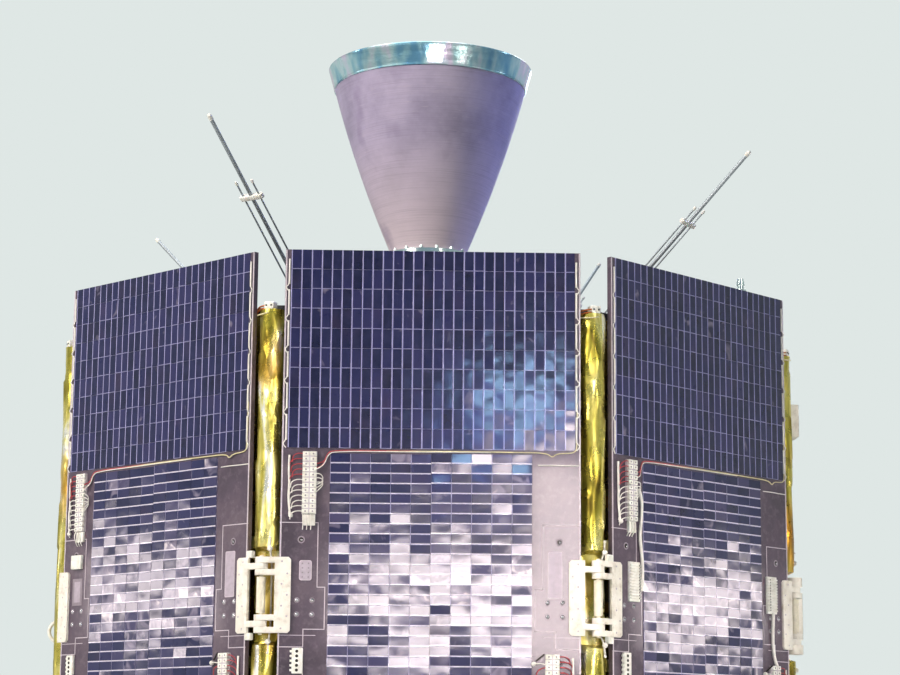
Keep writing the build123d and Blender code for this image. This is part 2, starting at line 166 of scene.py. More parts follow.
class Nodes:
    # a few short calls for building a material's nodes
    def __init__(self, name, baseHex, roughness, metallic=0.0, **sockets):
        self.material = finish[name] = bpy.data.materials.new(name)
        self.material.use_nodes = True
        self.tree = self.material.node_tree
        self.shader = self.tree.nodes["Principled BSDF"]
        sockets.update({"Base_Color": baseHex, "Roughness": roughness, "Metallic": metallic})
        for label, value in sockets.items():
            self.put(label.replace("_", " "), value)
        coords = self.add("ShaderNodeTexCoord")
        self.place = coords.outputs["Object"]
        self.uv = coords.outputs["UV"]

    def put(self, label, value):
        setSocket(self.tree, self.shader.inputs[label], value)

    def add(self, kind, inputs=None, **settings):
        return addNode(self.tree, kind, inputs, **settings)

    def mapped(self, scale, place=None):
        inputs = {"Vector": place or self.place, "Scale": scale}
        return self.add("ShaderNodeMapping", inputs).outputs["Vector"]

    def height(self):
        return self.add("ShaderNodeSeparateXYZ", {"Vector": self.place}).outputs["Z"]

    def noise(self, scale, detail=4.0, roughness=0.55, distortion=0.0, place=None):
        # a scale of three numbers stretches the pattern
        if isinstance(scale, tuple):
            place = self.mapped(scale, place)
            scale = 1.0
        inputs = {"Scale": scale, "Detail": detail, "Roughness": roughness, "Distortion": distortion}
        inputs["Vector"] = place or self.place
        return self.add("ShaderNodeTexNoise", inputs).outputs["Fac"]

    def cells(self, scale):
        inputs = {"Scale": 1.0, "Vector": self.mapped(scale)}
        return self.add("ShaderNodeTexVoronoi", inputs).outputs["Distance"]

    def ramp(self, value, *stops):
        node = self.add("ShaderNodeValToRGB", {"Fac": value})
        ramp = node.color_ramp
        while len(ramp.elements) < len(stops):
            ramp.elements.new(0.5)
        for element, (place, colour) in zip(ramp.elements, stops):
            element.position = place
            element.color = fromHex(colour)
        return node.outputs["Color"]

    def mix(self, share, first, second, blend="MIX"):
        inputs = {0: share, 6: first, 7: second}
        return self.add("ShaderNodeMix", inputs, data_type="RGBA", blend_type=blend).outputs[2]

    def math(self, operation, first, second=0.5):
        return self.add("ShaderNodeMath", {0: first, 1: second}, operation=operation).outputs[0]

    def span(self, value, low, high, lowOut=0.0, highOut=1.0):
        inputs = {"Value": value, "From Min": low, "From Max": high, "To Min": lowOut, "To Max": highOut}
        return self.add("ShaderNodeMapRange", inputs).outputs["Result"]

    def tint(self, colour, pattern, low, high, strength, second, blend="MIX"):
        # lays a second colour over the first where the pattern rises from low to high
        return self.mix(self.span(pattern, low, high, 0.0, strength), colour, second, blend)

    def base(self, colour):
        self.put("Base Color", colour)

    def rough(self, pattern, low, high, first, last):
        self.put("Roughness", self.span(pattern, low, high, first, last))

    def bump(self, height, strength, distance):
        inputs = {"Height": height, "Strength": strength, "Distance": distance}
        last = self.shader.inputs["Normal"]
        if last.is_linked:
            inputs["Normal"] = last.links[0].from_socket
        self.put("Normal", self.add("ShaderNodeBump", inputs).outputs["Normal"])


def cellGlassMaterial():
    # Dark cells under cover glass. A tile's colour attribute holds its own random tone, how strongly a
    # painted reflection is laid on it, and whether it lies flat. Its UV runs across the short side and
    # along the long one.
    m = Nodes("cellGlass", "1c1d48", 0.3, Coat_Weight=1.0, Coat_Roughness=0.1, Specular_IOR_Level=0.1)
    toneAndReflection = m.add("ShaderNodeAttribute", attribute_name="cellToneAndReflection").outputs["Color"]
    shade, paintedReflection, lying = m.add("ShaderNodeSeparateColor", {"Color": toneAndReflection}).outputs[:3]
    uv = m.add("ShaderNodeSeparateXYZ", {"Vector": m.uv})
    shift = m.add("ShaderNodeVectorMath", {0: toneAndReflection, "Scale": 7.0}, operation="SCALE")
    place = m.add("ShaderNodeVectorMath", {0: m.place, 1: shift.outputs[0]}).outputs[0]
    upright = m.ramp(shade, (0.0, "0b0c33"), (0.4, "11133c"), (0.7, "171948"), (1.0, "262353"))
    flat = m.ramp(shade, (0.0, "12143c"), (0.4, "1b1e49"), (0.7, "292954"), (1.0, "403b60"))
    streaks = m.noise(34.0, 5.0, 0.6, place=place)
    colour = m.tint(m.mix(lying, upright, flat), streaks, 0.42, 0.8, 0.6, "2c2c58")
    colour = m.tint(colour, m.noise(11.0, 2.0, 0.5, place=place), 0.55, 0.8, 0.4, "41304e")
    # painted reflection: pale mauve and pinkish-white patches stand for the room mirrored in the glass
    patches = m.noise(26.0, 2.0, 0.5, 0.8, place)
    cloud = m.math("ADD", patches, m.math("MULTIPLY", paintedReflection, 0.5))
    colour = m.tint(colour, cloud, 0.72, 0.86, 0.7, "8b8298")
    colour = m.tint(colour, cloud, 0.90, 1.02, 1.0, "e9dee4")
    bar = m.math("LESS_THAN", uv.outputs["X"], 0.12)
    colour = m.mix(bar, colour, m.mix(lying, "a5a2d0", "d8d1e2"))
    end = m.math("LESS_THAN", uv.outputs["Y"], 0.032)
    end = m.math("MULTIPLY", end, m.math("GREATER_THAN", shade, 0.5))
    m.base(m.mix(end, colour, m.mix(lying, "9c9ac6", "9c98bc")))
    m.rough(streaks, 0.3, 0.8, 0.25, 0.45)
    # the thin cells are a little wavy, so the glass mirrors in streaks
    m.bump(m.noise((24.0, 24.0, 30.0), 0.6, 0.4, place=place), 0.4, 0.0014)
    m.put("Coat Normal", m.shader.inputs["Normal"].links[0].from_socket)


def cellBedMaterial():
    m = Nodes("cellBed", "9a97bb", 0.45)
    m.base(m.ramp(m.noise(160.0, 3.0), (0.3, "77749c"), (0.55, "a09dc4"), (0.8, "d5d2ea")))


def panelSkinMaterial():
    # Thin carbon skin, mauve grey, with a faint weave and worn patches
    m = Nodes("panelSkin", "5c5262", 0.4, Specular_IOR_Level=0.15, Coat_Weight=0.5, Coat_Roughness=0.07)
    cloud = m.noise(9.0, 6.0, 0.6)
    colour = m.ramp(cloud, (0.28, "443b47"), (0.5, "564a58"), (0.72, "6c5f69"))
    m.base(m.tint(colour, m.noise(70.0, 3.0, 0.7), 0.5, 0.8, 0.4, "857a84"))
    weave = m.add("ShaderNodeTexWave", {"Vector": m.place, "Scale": 260.0, "Distortion": 0.4})
    m.bump(weave.outputs["Fac"], 0.12, 0.0003)
    m.rough(cloud, 0.3, 0.7, 0.36, 0.5)


def goldFilmMaterial():
    # Crumpled gold film in long folds that run mostly upright: olive to bright yellow, with painted
    # highlights and painted shade
    m = Nodes("goldFilm", "c9a02c", 0.22, 0.78)
    # painted highlight: the near-white end of the ramp stands for lamps mirrored in the film
    colour = m.ramp(
        m.noise((22.0, 22.0, 5.0), 3.0, 0.55, 1.2),
        (0.28, "6e5c1e"), (0.38, "a89c38"), (0.5, "d8ca68"), (0.58, "f4ea9c"), (0.66, "fffdf0"))
    colour = m.tint(colour, m.noise(4.0, 3.0), 0.52, 0.7, 0.8, "f0a040", "MULTIPLY")
    # painted shade: small dark brown patches stand for shaded creases
    m.base(m.tint(colour, m.noise(46.0, 4.0, 0.6), 0.62, 0.8, 0.6, "3b2c0e"))
    m.rough(m.noise(30.0, 3.0), 0.3, 0.7, 0.2, 0.38)
    m.bump(m.cells((34.0, 34.0, 13.0)), 0.65, 0.008)
    m.bump(m.noise(60.0, 3.0, 0.5), 0.25, 0.002)


def goldBlanketMaterial():
    # The same film laid as a blanket: shallower folds, and taped seams at two levels
    m = Nodes("goldBlanket", "c9a02c", 0.25, 0.9)
    # as on the film, the pale end of the ramp is a painted highlight
    toneAndSheen = m.noise((9.0, 9.0, 4.0), 3.0, 0.55, 0.8)
    colour = m.ramp(toneAndSheen, (0.28, "a08c34"), (0.42, "c0ac42"), (0.55, "d6c456"), (0.7, "efe18a"))
    colour = m.tint(colour, m.noise(2.6, 3.0), 0.54, 0.72, 0.6, "f0a850", "MULTIPLY")
    # painted shade: small dark patches stand for shaded creases
    colour = m.tint(colour, m.noise(46.0, 4.0, 0.6), 0.62, 0.8, 0.4, "5a4516")
    height = m.height()
    seams = [bodyLow.z + bodyHeight * share for share in (0.36, 0.68)]
    near = m.math("MINIMUM", *[m.math("ABSOLUTE", m.math("SUBTRACT", height, level)) for level in seams])
    seam = m.math("LESS_THAN", near, 0.012)
    m.base(m.mix(seam, colour, "dca23c"))
    film = m.span(m.noise(30.0, 3.0), 0.3, 0.7, 0.14, 0.34)
    m.put("Roughness", m.mix(seam, film, (0.4, 0.4, 0.4, 1.0)))
    m.bump(m.cells((17.0, 17.0, 11.0)), 0.5, 0.012)
    m.bump(m.noise(50.0, 3.0, 0.5), 0.3, 0.002)
    m.bump(m.span(near, 0.010, 0.013, 1.0, 0.0), 0.6, 0.001)


def whitePaintMaterial():
    m = Nodes("whitePaint", "efe9e0", 0.38)
    worn = m.noise(40.0, 6.0, 0.65)
    colour = m.ramp(worn, (0.3, "cfc6b8"), (0.45, "ebe5da"), (0.7, "f6f2ea"))
    m.base(m.tint(colour, m.noise(150.0, 3.0), 0.62, 0.8, 0.35, "9a9184"))
    m.rough(worn, 0.3, 0.7, 0.5, 0.3)
    m.bump(m.noise(420.0, 2.0), 0.12, 0.0006)


def whiteResinMaterial():
    m = Nodes("whiteResin", "f2f0ea", 0.5, Subsurface_Weight=0.05)
    m.base(m.ramp(m.noise(90.0, 5.0), (0.3, "dcd8cc"), (0.6, "f4f2ec")))
    m.bump(m.noise(300.0, 2.0), 0.1, 0.0005)


def nozzleMaterial():
    # Tape-wound composite: fine hoops that waver a little, darker in bands, and painted light that makes it
    # paler at the foot
    m = Nodes("nozzleWound", "9a8fa3", 0.5, Specular_IOR_Level=0.22)
    hoops = m.noise((6.0, 6.0, 560.0), 3.0, 0.6)
    cloud = m.noise(7.0, 5.0, 0.6)
    colour = m.ramp(cloud, (0.3, "978faa"), (0.5, "afa5c1"), (0.72, "c4b9d3"))
    # painted light: the lowest part of the bell is painted paler, as if more light fell on it
    colour = m.mix(m.span(m.height(), coneLow.z, coneLow.z + 0.26, 0.9, 0.0), colour, "e2d3da")
    colour = m.tint(colour, m.noise((13.0, 13.0, 7.0), 2.0, 0.5), 0.60, 0.72, 0.4, "7d7094")
    colour = m.tint(colour, hoops, 0.5, 0.78, 0.3, "6a6176")
    colour = m.tint(colour, m.noise((26.0, 26.0, 190.0), 3.0, 0.7), 0.60, 0.74, 0.4, "c9bccb")
    m.base(m.tint(colour, m.noise((3.0, 3.0, 60.0), 2.0, 0.5), 0.58, 0.8, 0.15, "c2b6c6"))
    m.rough(cloud, 0.3, 0.7, 0.42, 0.6)
    m.bump(hoops, 0.4, 0.0014)


def mirrorLipMaterial():
    # Polished band whose streaky teal, lilac and white base colour is a painted reflection of the room
    m = Nodes("mirrorLip", "dbe6e6", 0.2, 0.72)
    m.base(m.ramp(
        m.noise((16.0, 16.0, 5.0), 3.0, 0.6),
        (0.34, "6fa9cc"), (0.44, "9accdc"), (0.53, "c4e4ea"), (0.63, "e6dcf6"), (0.76, "ffffff")))
    m.bump(m.noise((60.0, 60.0, 14.0), 3.0, 0.6), 0.3, 0.002)
    m.rough(m.noise((4.0, 4.0, 90.0), 3.0, 0.6), 0.3, 0.8, 0.12, 0.28)


def blackDeckMaterial():
    m = Nodes("blackDeck", "141416", 0.4)
    folds = m.noise(22.0, 5.0, 0.6, 0.8)
    # painted shade: the folds that make the bump are painted darker in their hollows and paler on their
    # ridges
    m.base(m.ramp(folds, (0.3, "0b0b0d"), (0.6, "1a1a1d"), (0.8, "2c2c31")))
    m.rough(folds, 0.3, 0.7, 0.28, 0.55)
    m.bump(folds, 0.4, 0.004)


def caseMaterial():
    m = Nodes("caseWound", "4b4a4e", 0.45)
    winding = m.noise((40.0, 40.0, 160.0), 4.0, 0.6)
    # painted shade: the winding's grooves from the bump are painted darker and its ridges paler
    m.base(m.ramp(winding, (0.3, "3a393d"), (0.55, "525055"), (0.8, "6a676d")))
    m.bump(winding, 0.3, 0.001)


def metalMaterial(name, colourHex, roughness, metallic=1.0):
    m = Nodes(name, colourHex, roughness, metallic)
    scuffs = m.noise(220.0, 5.0, 0.65)
    m.rough(scuffs, 0.3, 0.75, roughness * 0.75, min(roughness * 1.5, 1.0))
    m.base(m.tint(colourHex, m.noise(26.0, 4.0), 0.45, 0.8, 0.5, "6d6f74"))
    m.bump(scuffs, 0.08, 0.0004)


def plainMaterial(name, colourHex, roughness, metallic=0.0, vary=0.25):
    m = Nodes(name, colourHex, roughness, metallic)
    m.base(m.tint(colourHex, m.noise(120.0, 4.0), 0.4, 0.8, vary, "3c3a3a"))
    m.rough(m.noise(200.0, 3.0), 0.3, 0.7, roughness * 0.8, min(roughness * 1.3, 1.0))


metalFinishes = {  # colour, roughness and how metallic it is where that isn't 1
    "aluminium": ("b9bcc0", 0.34),
    "antennaTube": ("a4adb3", 0.40, 0.5),
    "flangeSilver": ("e4f2f2", 0.14),
    "boltHead": ("cfcdd2", 0.22),
}
plainFinishes = {  # colour, roughness, how metallic it is and how much it varies
    "pinSleeve": ("ece4cf", 0.42, 0.0, 0.2),
    "darkBolt": ("2b2724", 0.4, 0.8),
    "boardResin": ("c9bfc6", 0.5),
    "harnessTape": ("b9822e", 0.35, 0.0, 0.35),
    "deckTape": ("1c1c20", 0.3, 0.0, 0.3),
    "feedCable": ("cfcac0", 0.4, 0.0, 0.2),
    "padGrey": ("938893", 0.45),
    "padPale": ("b8acba", 0.4),
    "edgeTape": ("cdc2cc", 0.4),
    "wireWhite": ("eeeae4", 0.45, 0.0, 0.15),
    "wireRed": ("b23a44", 0.4, 0.0, 0.15),
    "wireYellow": ("e0d6a8", 0.45, 0.0, 0.15),
    "wireCopper": ("b0602c", 0.35, 0.7),
}
for build in (
        cellGlassMaterial, cellBedMaterial, panelSkinMaterial, goldFilmMaterial, goldBlanketMaterial,
        whitePaintMaterial, whiteResinMaterial, nozzleMaterial, mirrorLipMaterial, blackDeckMaterial,
        caseMaterial):
    build()
for label, values in metalFinishes.items():
    metalMaterial(label, *values)
for label, values in plainFinishes.items():
    plainMaterial(label, *values)
print("materials ready:", len(finish))


# Mesh helpers

def placePiece(name, mesh, body, nodes=()):
    # a piece rides on a body and may stand for CAD nodes
    piece = bpy.data.objects.new(name, mesh)
    bpy.context.scene.collection.objects.link(piece)
    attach(piece, body)
    if nodes:
        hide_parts(*nodes)


def finishMesh(name, bm, body, materials, nodes=(), sharpAngle=35, flat=False):
    mesh = bpy.data.meshes.new(name)
    bm.to_mesh(mesh)
    bm.free()
    for label in materials:
        mesh.materials.append(finish[label])
    if not flat:
        mesh.polygons.foreach_set("use_smooth", [True] * len(mesh.polygons))
        mesh.set_sharp_from_angle(angle=math.radians(sharpAngle))
    placePiece(name, mesh, body, nodes)


def finishPanelPiece(kind, row, bm, materials, flat=False):
    bmesh.ops.transform(bm, matrix=faceMatrix(row["azimuth"]), verts=bm.verts)
    bmesh.ops.recalc_face_normals(bm, faces=bm.faces)
    finishMesh(kind + "_" + row["name"], bm, row["name"] + "_wing_panel", materials, flat=flat)


def finishBusPiece(name, bm, materials, nodes=(), sharpAngle=35):
    bmesh.ops.recalc_face_normals(bm, faces=bm.faces)
    finishMesh(name, bm, "bus", materials, nodes, sharpAngle)


def paintFaces(verts, material):
    for face in {face for vert in verts for face in vert.link_faces}:
        face.material_index = material


def uprightEdges(verts, least):
    edges = {edge for vert in verts for edge in vert.link_edges}
    return [e for e in edges if abs(e.verts[0].co.z - e.verts[1].co.z) > least]


def roundEdges(bm, edges, width, segments, clamp=False):
    bmesh.ops.bevel(
        bm, geom=edges, offset=width, offset_type="OFFSET", segments=segments, profile=0.5,
        affect="EDGES", material=-1, clamp_overlap=clamp)


def aimMatrix(axis):
    # turns Z to the axis
    return Vector(axis).to_track_quat("Z", "Y").to_matrix().to_4x4()


def addBox(bm, size, centre, bevel=0.0, material=0, turn=None):
    matrix = Matrix.Translation(centre) @ (turn or Matrix.Identity(4)) @ Matrix.Diagonal((*size, 1))
    made = bmesh.ops.create_cube(bm, size=1.0, matrix=matrix)["verts"]
    paintFaces(made, material)
    if bevel:
        roundEdges(bm, list({edge for vert in made for edge in vert.link_edges}), bevel, 2)
    return made


def addPlate(bm, size, centre, corner, material=0):
    # a flat plate whose upright corners are rounded
    made = addBox(bm, size, centre, material=material)
    roundEdges(bm, uprightEdges(made, size[2] / 2), corner, 4)


def addRod(bm, start, end, radius, segments=10, material=0):
    axis = Vector(end) - Vector(start)
    matrix = Matrix.Translation((Vector(start) + Vector(end)) / 2) @ aimMatrix(axis)
    made = bmesh.ops.create_cone(
        bm, cap_ends=True, segments=segments, radius1=radius, radius2=radius, depth=axis.length,
        matrix=matrix)["verts"]
    paintFaces(made, material)


def addDome(bm, centre, radius, height, segments=10, material=0, normal=(0, 0, 1)):
    # a low button: a flattened ball, sunk to its middle
    made = bmesh.ops.create_uvsphere(bm, u_segments=segments, v_segments=6, radius=radius)["verts"]
    squash = Matrix.Diagonal((1, 1, height / radius, 1))
    bmesh.ops.transform(bm, matrix=Matrix.Translation(centre) @ aimMatrix(normal) @ squash, verts=made)
    paintFaces(made, material)


def drawLine(bm, points, width, height, material=0):
    for start, end in zip(points[:-1], points[1:]):
        size = (abs(end[0] - start[0]) + width, abs(end[1] - start[1]) + width, height)
        centre = ((start[0] + end[0]) / 2, (start[1] + end[1]) / 2, height / 2)
        addBox(bm, size, centre, material=material)


def spinProfile(bm, points, steps):
    # a chain of (radius, height) points turned once round the Z axis
    verts = [bm.verts.new((radius, 0, height)) for radius, height in points]
    edges = [bm.edges.new(pair) for pair in zip(verts[:-1], verts[1:])]
    bmesh.ops.spin(
        bm, geom=verts + edges, cent=(0, 0, 0), axis=(0, 0, 1), dvec=(0, 0, 0),
        angle=math.tau, steps=steps, use_merge=True, use_duplicate=False)
    bmesh.ops.remove_doubles(bm, verts=bm.verts, dist=0.000002)


crumpleSettings = {
    "patch": 1.8,  # how strongly each patch tilts
    "swell": 0.6,
    "swellScale": 0.4,
}


def crumple(bm, verts, size, depth, seed):
    # moves points along their normals as if each patch of film were a small tilted plane
    c = crumpleSettings
    bm.normal_update()
    for vert in verts:
        spot = Vector([vert.co[axis] / size[axis] + seed * (axis + 1) for axis in range(3)])
        centre = noise.voronoi(spot)[1][0]
        lean = noise.cell_vector(centre * 3.1) - Vector((0.5, 0.5, 0.5))
        tilt = (spot - centre).dot(lean)
        swell = noise.noise(spot * c["swellScale"])
        vert.co += vert.normal * (tilt * c["patch"] + swell * c["swell"]) * depth


def wirePiece(name, routes, radius, body, material, matrix=None):
    # several wires in one piece, each a smooth curve through its own points
    curve = bpy.data.curves.new(name, "CURVE")
    curve.dimensions = "3D"
    curve.bevel_depth = radius
    curve.bevel_resolution = 1
    curve.use_fill_caps = True
    curve.resolution_u = 5
    for route in routes:
        spline = curve.splines.new("NURBS")
        spline.points.add(len(route) - 1)
        for point, place in zip(spline.points, route):
            spot = matrix @ Vector(place) if matrix else Vector(place)
            point.co = (*spot, 1.0)
        spline.order_u = 3
        spline.use_endpoint_u = True
    holder = bpy.data.objects.new(name + "_curve", curve)
    bpy.context.scene.collection.objects.link(holder)
    bpy.context.view_layer.update()
    mesh = bpy.data.meshes.new_from_object(holder.evaluated_get(bpy.context.evaluated_depsgraph_get()))
    bpy.data.objects.remove(holder)
    mesh.name = name
    mesh.materials.clear()
    mesh.materials.append(finish[material])
    mesh.polygons.foreach_set("use_smooth", [True] * len(mesh.polygons))
    placePiece(name, mesh, body)


def bevelledNode(nodeName, pieceName, body, look, width, segments):
    # a copy of a CAD node whose hard edges are rounded, to stand for it
    slot, material = look
    bm = bmesh.new()
    bm.from_mesh(frame["nodes"][nodeName].data)
    bmesh.ops.remove_doubles(bm, verts=bm.verts, dist=0.00002)
    bmesh.ops.dissolve_limit(bm, angle_limit=math.radians(2), verts=bm.verts, edges=bm.edges)
    sharp = [e for e in bm.edges if e.is_manifold and e.calc_face_angle(0) > math.radians(28)]
    roundEdges(bm, sharp, width, segments, True)
    finishMesh(pieceName, bm, body, [material], [nodeName])


# CAD nodes that keep their shape

keptNodes = {
    "upper_deck": "blackDeck",
    "lower_deck": "aluminium",
    "hold_down_posts": "aluminium",
    "antenna_whips": "antennaTube",
    "antenna_rods": "antennaTube",
    "boom_drive_pins": "pinSleeve",
    "adapter_ring": "aluminium",
}
for row in panelRows:
    keptNodes["panel_" + row["name"]] = "panelSkin"
    keptNodes["cells_" + row["name"]] = "cellBed"
    keptNodes["terminal_boards_" + row["name"]] = "boardResin"
    if row["pin"]:
        keptNodes["hinge_pin_" + row["name"]] = "pinSleeve"
for row in boomRows:
    keptNodes["hinge_pin_boom_" + row["name"]] = "pinSleeve"
for nodeName, label in keptNodes.items():
    materials = frame["nodes"][nodeName].data.materials
    materials.clear()
    materials.append(finish[label])


# Solar cells: one thin tile each, a little out of line with its neighbours

cellSettings = {
    "bed": 0.001,  # the CAD plates under the tiles
    "thickness": 0.0006,
    "gap": 0.0009,
    "lift": 0.0003,
    "liftSpread": 0.0001,
    "endHeight": 0.407,
    "endHalfWidth": 0.2885,
    "endColumns": 28,
    "endRows": 10,
    "endTilt": 0.32,
    "middleHalfWidth": 0.2025,
    "middleHalfHeight": 0.2926,
    "middleColumns": 5,
    "middleRows": 29,
    "middleTilt": 0.8,
    "halfShift": 0.0016,  # the right-hand half of the flat cells sits a little higher
}


# how strongly a pale reflection is painted onto a tile; the upright cells rarely get one
def paintedTileReflection(kind, centre, rng):
    if kind == "end":
        return rng.random() ** 6 * 0.3
    # painted reflection: pale patches are painted most strongly onto the middle of the flat cells
    near = 1 - min(abs(centre.y - 0.01) / 0.16, 1.0)
    return min(max(near * 0.42 + rng.gauss(0, 0.22), 0.0), 1.0)


def rowByRow(face):
    centre = face.calc_center_median()
    return round(centre.y, 4), round(centre.x, 4)


def addTiles(bm, toneAndReflection, uvLayer, low, high, kind, rng):
    s = cellSettings
    columns, rows, tilt = s[kind + "Columns"], s[kind + "Rows"], s[kind + "Tilt"]
    upright = kind == "end"
    width = (high[0] - low[0]) / columns
    height = (high[1] - low[1]) / rows
    matrix = Matrix.Translation(((low[0] + high[0]) / 2, (low[1] + high[1]) / 2, s["bed"]))
    matrix = matrix @ Matrix.Diagonal((high[0] - low[0], high[1] - low[1], 1, 1))
    made = bmesh.ops.create_grid(bm, x_segments=columns, y_segments=rows, size=0.5, matrix=matrix)["verts"]
    faces = sorted({face for vert in made for face in vert.link_faces}, key=rowByRow)
    bmesh.ops.split_edges(bm, edges=list({edge for face in faces for edge in face.edges}))
    shrink = Matrix.Diagonal((1 - s["gap"] / width, 1 - s["gap"] / height, 1, 1))
    for face in faces:
        centre = face.calc_center_median()
        lean = Matrix.Rotation(math.radians(rng.gauss(0, tilt)), 4, "X")
        lean = lean @ Matrix.Rotation(math.radians(rng.gauss(0, tilt)), 4, "Y")
        lean.translation = (0, 0, abs(rng.gauss(0, s["liftSpread"])) + s["lift"])
        move = Matrix.Translation(centre) @ lean @ shrink @ Matrix.Translation(-centre)
        bmesh.ops.transform(bm, matrix=move, verts=face.verts)
        # per tile: its random tone, the strength of its painted reflection, and whether it lies flat
        shade = (rng.random(), paintedTileReflection(kind, centre, rng), 0.0 if upright else 1.0, 1.0)
        for loop in face.loops:
            loop[toneAndReflection] = shade
            acrossX = (loop.vert.co.x - centre.x) / width + 0.5
            acrossY = (loop.vert.co.y - centre.y) / height + 0.5
            loop[uvLayer].uv = (acrossX, acrossY) if upright else (acrossY, acrossX)
    new = bmesh.ops.extrude_face_region(bm, geom=faces, use_keep_orig=True)
    top = [v for v in new["geom"] if isinstance(v, bmesh.types.BMVert)]
    bmesh.ops.translate(bm, vec=(0, 0, s["thickness"]), verts=top)


def cellTiles(row, seed):
    s = cellSettings
    rng = random.Random(seed)
    bm = bmesh.new()
    toneAndReflection = bm.loops.layers.float_color.new("cellToneAndReflection")
    uvLayer = bm.loops.layers.uv.new("tileUV")
    edge, middle = s["endHalfWidth"], s["middleHalfWidth"]
    top, high, shift = panelHalfHeight, s["middleHalfHeight"], s["halfShift"]
    blocks = (
        ((-edge, top - s["endHeight"]), (edge, top), "end"),
        ((-edge, -top), (edge, s["endHeight"] - top), "end"),
        ((-middle, -high), (0, high), "middle"),
        ((0, shift - high), (middle, shift + high), "middle"),
    )
    for block in blocks:
        addTiles(bm, toneAndReflection, uvLayer, *block, rng)
    finishPanelPiece("cell_tiles", row, bm, ["cellGlass"], flat=True)


for index, row in enumerate(panelRows):
    cellTiles(row, 100 + index)
print("solar cells done")


# Hinges, booms and fittings: bevelled copies of the CAD solids

painted = ("white_paint", "whitePaint")
plastic = ("white_plastic", "whiteResin")
bareMetal = ("bare_aluminium", "aluminium")
fittingRows = [  # CAD node, its piece, body, slot and finish, how far it is rounded and in how many steps
    ("boom_drives", "drive_units", "bus", bareMetal, 0.001, 2),
    ("corner_blocks", "corner_caps", "bus", plastic, 0.0016, 2),
    ("sensor_box", "sensor_housing", "bus", painted, 0.003, 2),
    ("tie_loops", "tie_rings", "bus", plastic, 0.0036, 3),
    ("antenna_spacers", "antenna_clamps", "bus", plastic, 0.0012, 2),
    ("antenna_feet", "antenna_bases", "bus", bareMetal, 0.0008, 2),
]
armRows = [(row["name"], "hinge_leaves_", "hinges_", "_wing_panel", 0.0009) for row in panelRows]
armRows += [(row["name"], "boom_", "boom_arm_", "_boom", 0.0012) for row in boomRows]
for name, node, piece, body, width in armRows:
    bevelledNode(node + name, piece + name, name + body, painted, width, 2)
for row in fittingRows:
    bevelledNode(*row)
print("hinges and fittings done")


# Panel details, all in a panel's own frame: along, up from its middle, and outwards

doublerSettings = {
    "thickness": 0.0005,
    "line": 0.0017,
    "lineHeight": 0.0008,
    "plates": (
        (0.224, 0.025, 0.300, 0.153), (0.2085, -0.058, 0.300, 0.025), (0.250, -0.093, 0.300, -0.058)),
    "outline": (
        (0.300, 0.153), (0.224, 0.153), (0.224, 0.025), (0.2085, 0.025), (0.2085, -0.058),
        (0.250, -0.058), (0.250, -0.093), (0.300, -0.093)),
    "seam": ((0.300, -0.070), (0.226, -0.070)),
    "seamLine": 0.00119,
    "rail": (0.0030, 0.0010),  # tape down both long edges, over the strings' end wires
    "railCentre": 0.2982,
}


def panelDoublers(row):
    # thin bonded plates round each hinge, with pale edges
    s = doublerSettings
    width, height = s["rail"]
    bm = bmesh.new()
    for side in (-1, 1):
        for left, low, right, high in s["plates"]:
            size = (right - left, high - low, s["thickness"])
            addBox(bm, size, (side * (left + right) / 2, (low + high) / 2, s["thickness"] / 2))
        for label, line in (("outline", s["line"]), ("seam", s["seamLine"])):
            drawLine(bm, [(side * x, y) for x, y in s[label]], line, s["lineHeight"], 1)
        size = (width, panelHalfHeight * 2 - 0.002, height)
        addBox(bm, size, (side * s["railCentre"], 0, height / 2), material=1)
    finishPanelPiece("doublers", row, bm, ["panelSkin", "edgeTape"])


padSettings = {
    "rounded": {"size": (0.025, 0.040, 0.0035), "centre": (0.2475, 0.058), "corner": 0.0045},
    "flat": {"size": (0.029, 0.092, 0.0012), "centre": (0.249, 0.054), "corner": 0.003},
    "boxed": {
        "size": (0.034, 0.058, 0.0014), "centre": (0.249, 0.040), "plate": (0.020, 0.044, 0.0010),
        "box": (0.034, 0.030, 0.0090), "boxRise": 0.064, "leads": 4, "leadPitch": 0.0065,
        "leadRise": 0.06375, "leadRadius": 0.0012},
    "ribbed": {"size": (0.034, 0.080, 0.0060), "centre": (0.235, 0.048), "ribs": 12, "edge": 0.004},
}
dotSettings = {
    "across": 0.006,
    "pitch": 0.009,
    "lines": 4,
    "radius": 0.0017,
    "height": 0.0006,
}


def ribbedPad(bm, pad, x, y, side):
    width, height, depth = pad["size"]
    addBox(bm, pad["size"], (x, y, depth / 2), 0.0012, 1)
    pitch = (height - 2 * pad["edge"]) / pad["ribs"]
    for shift in spaced(pad["ribs"], pitch):
        addBox(bm, (width - 0.002, pitch * 0.55, 0.004), (x, y + shift, depth + 0.001), 0.0006, 1)
        addDome(bm, (x - side * 0.011, y + shift, depth + 0.003), 0.0016, 0.0012, 6, 2)


def boxedPad(bm, pad, x, y):
    depth = pad["size"][2]
    addBox(bm, pad["size"], (x, y, depth / 2), depth * 0.4, 0)
    addBox(bm, pad["plate"], (x, y, depth), 0.0003, 3)
    addBox(bm, pad["box"], (x, y + pad["boxRise"], pad["box"][2] / 2), 0.002, 1)
    for shift in spaced(pad["leads"], pad["leadPitch"]):
        level = y + pad["leadRise"] + shift
        addRod(bm, (x - 0.017, level, 0.006), (x - 0.025, level, 0.001), pad["leadRadius"], 6, 1)


def flatPad(bm, pad, x, y):
    # a pale field with a light rim
    width, height, depth = pad["size"]
    rim = doublerSettings["line"]
    addPlate(bm, (width, height, depth * 0.8), (x, y, depth * 0.4), pad["corner"], 4)
    addPlate(bm, (width - 2 * rim, height - 2 * rim, depth), (x, y, depth / 2), pad["corner"] - rim / 2, 3)


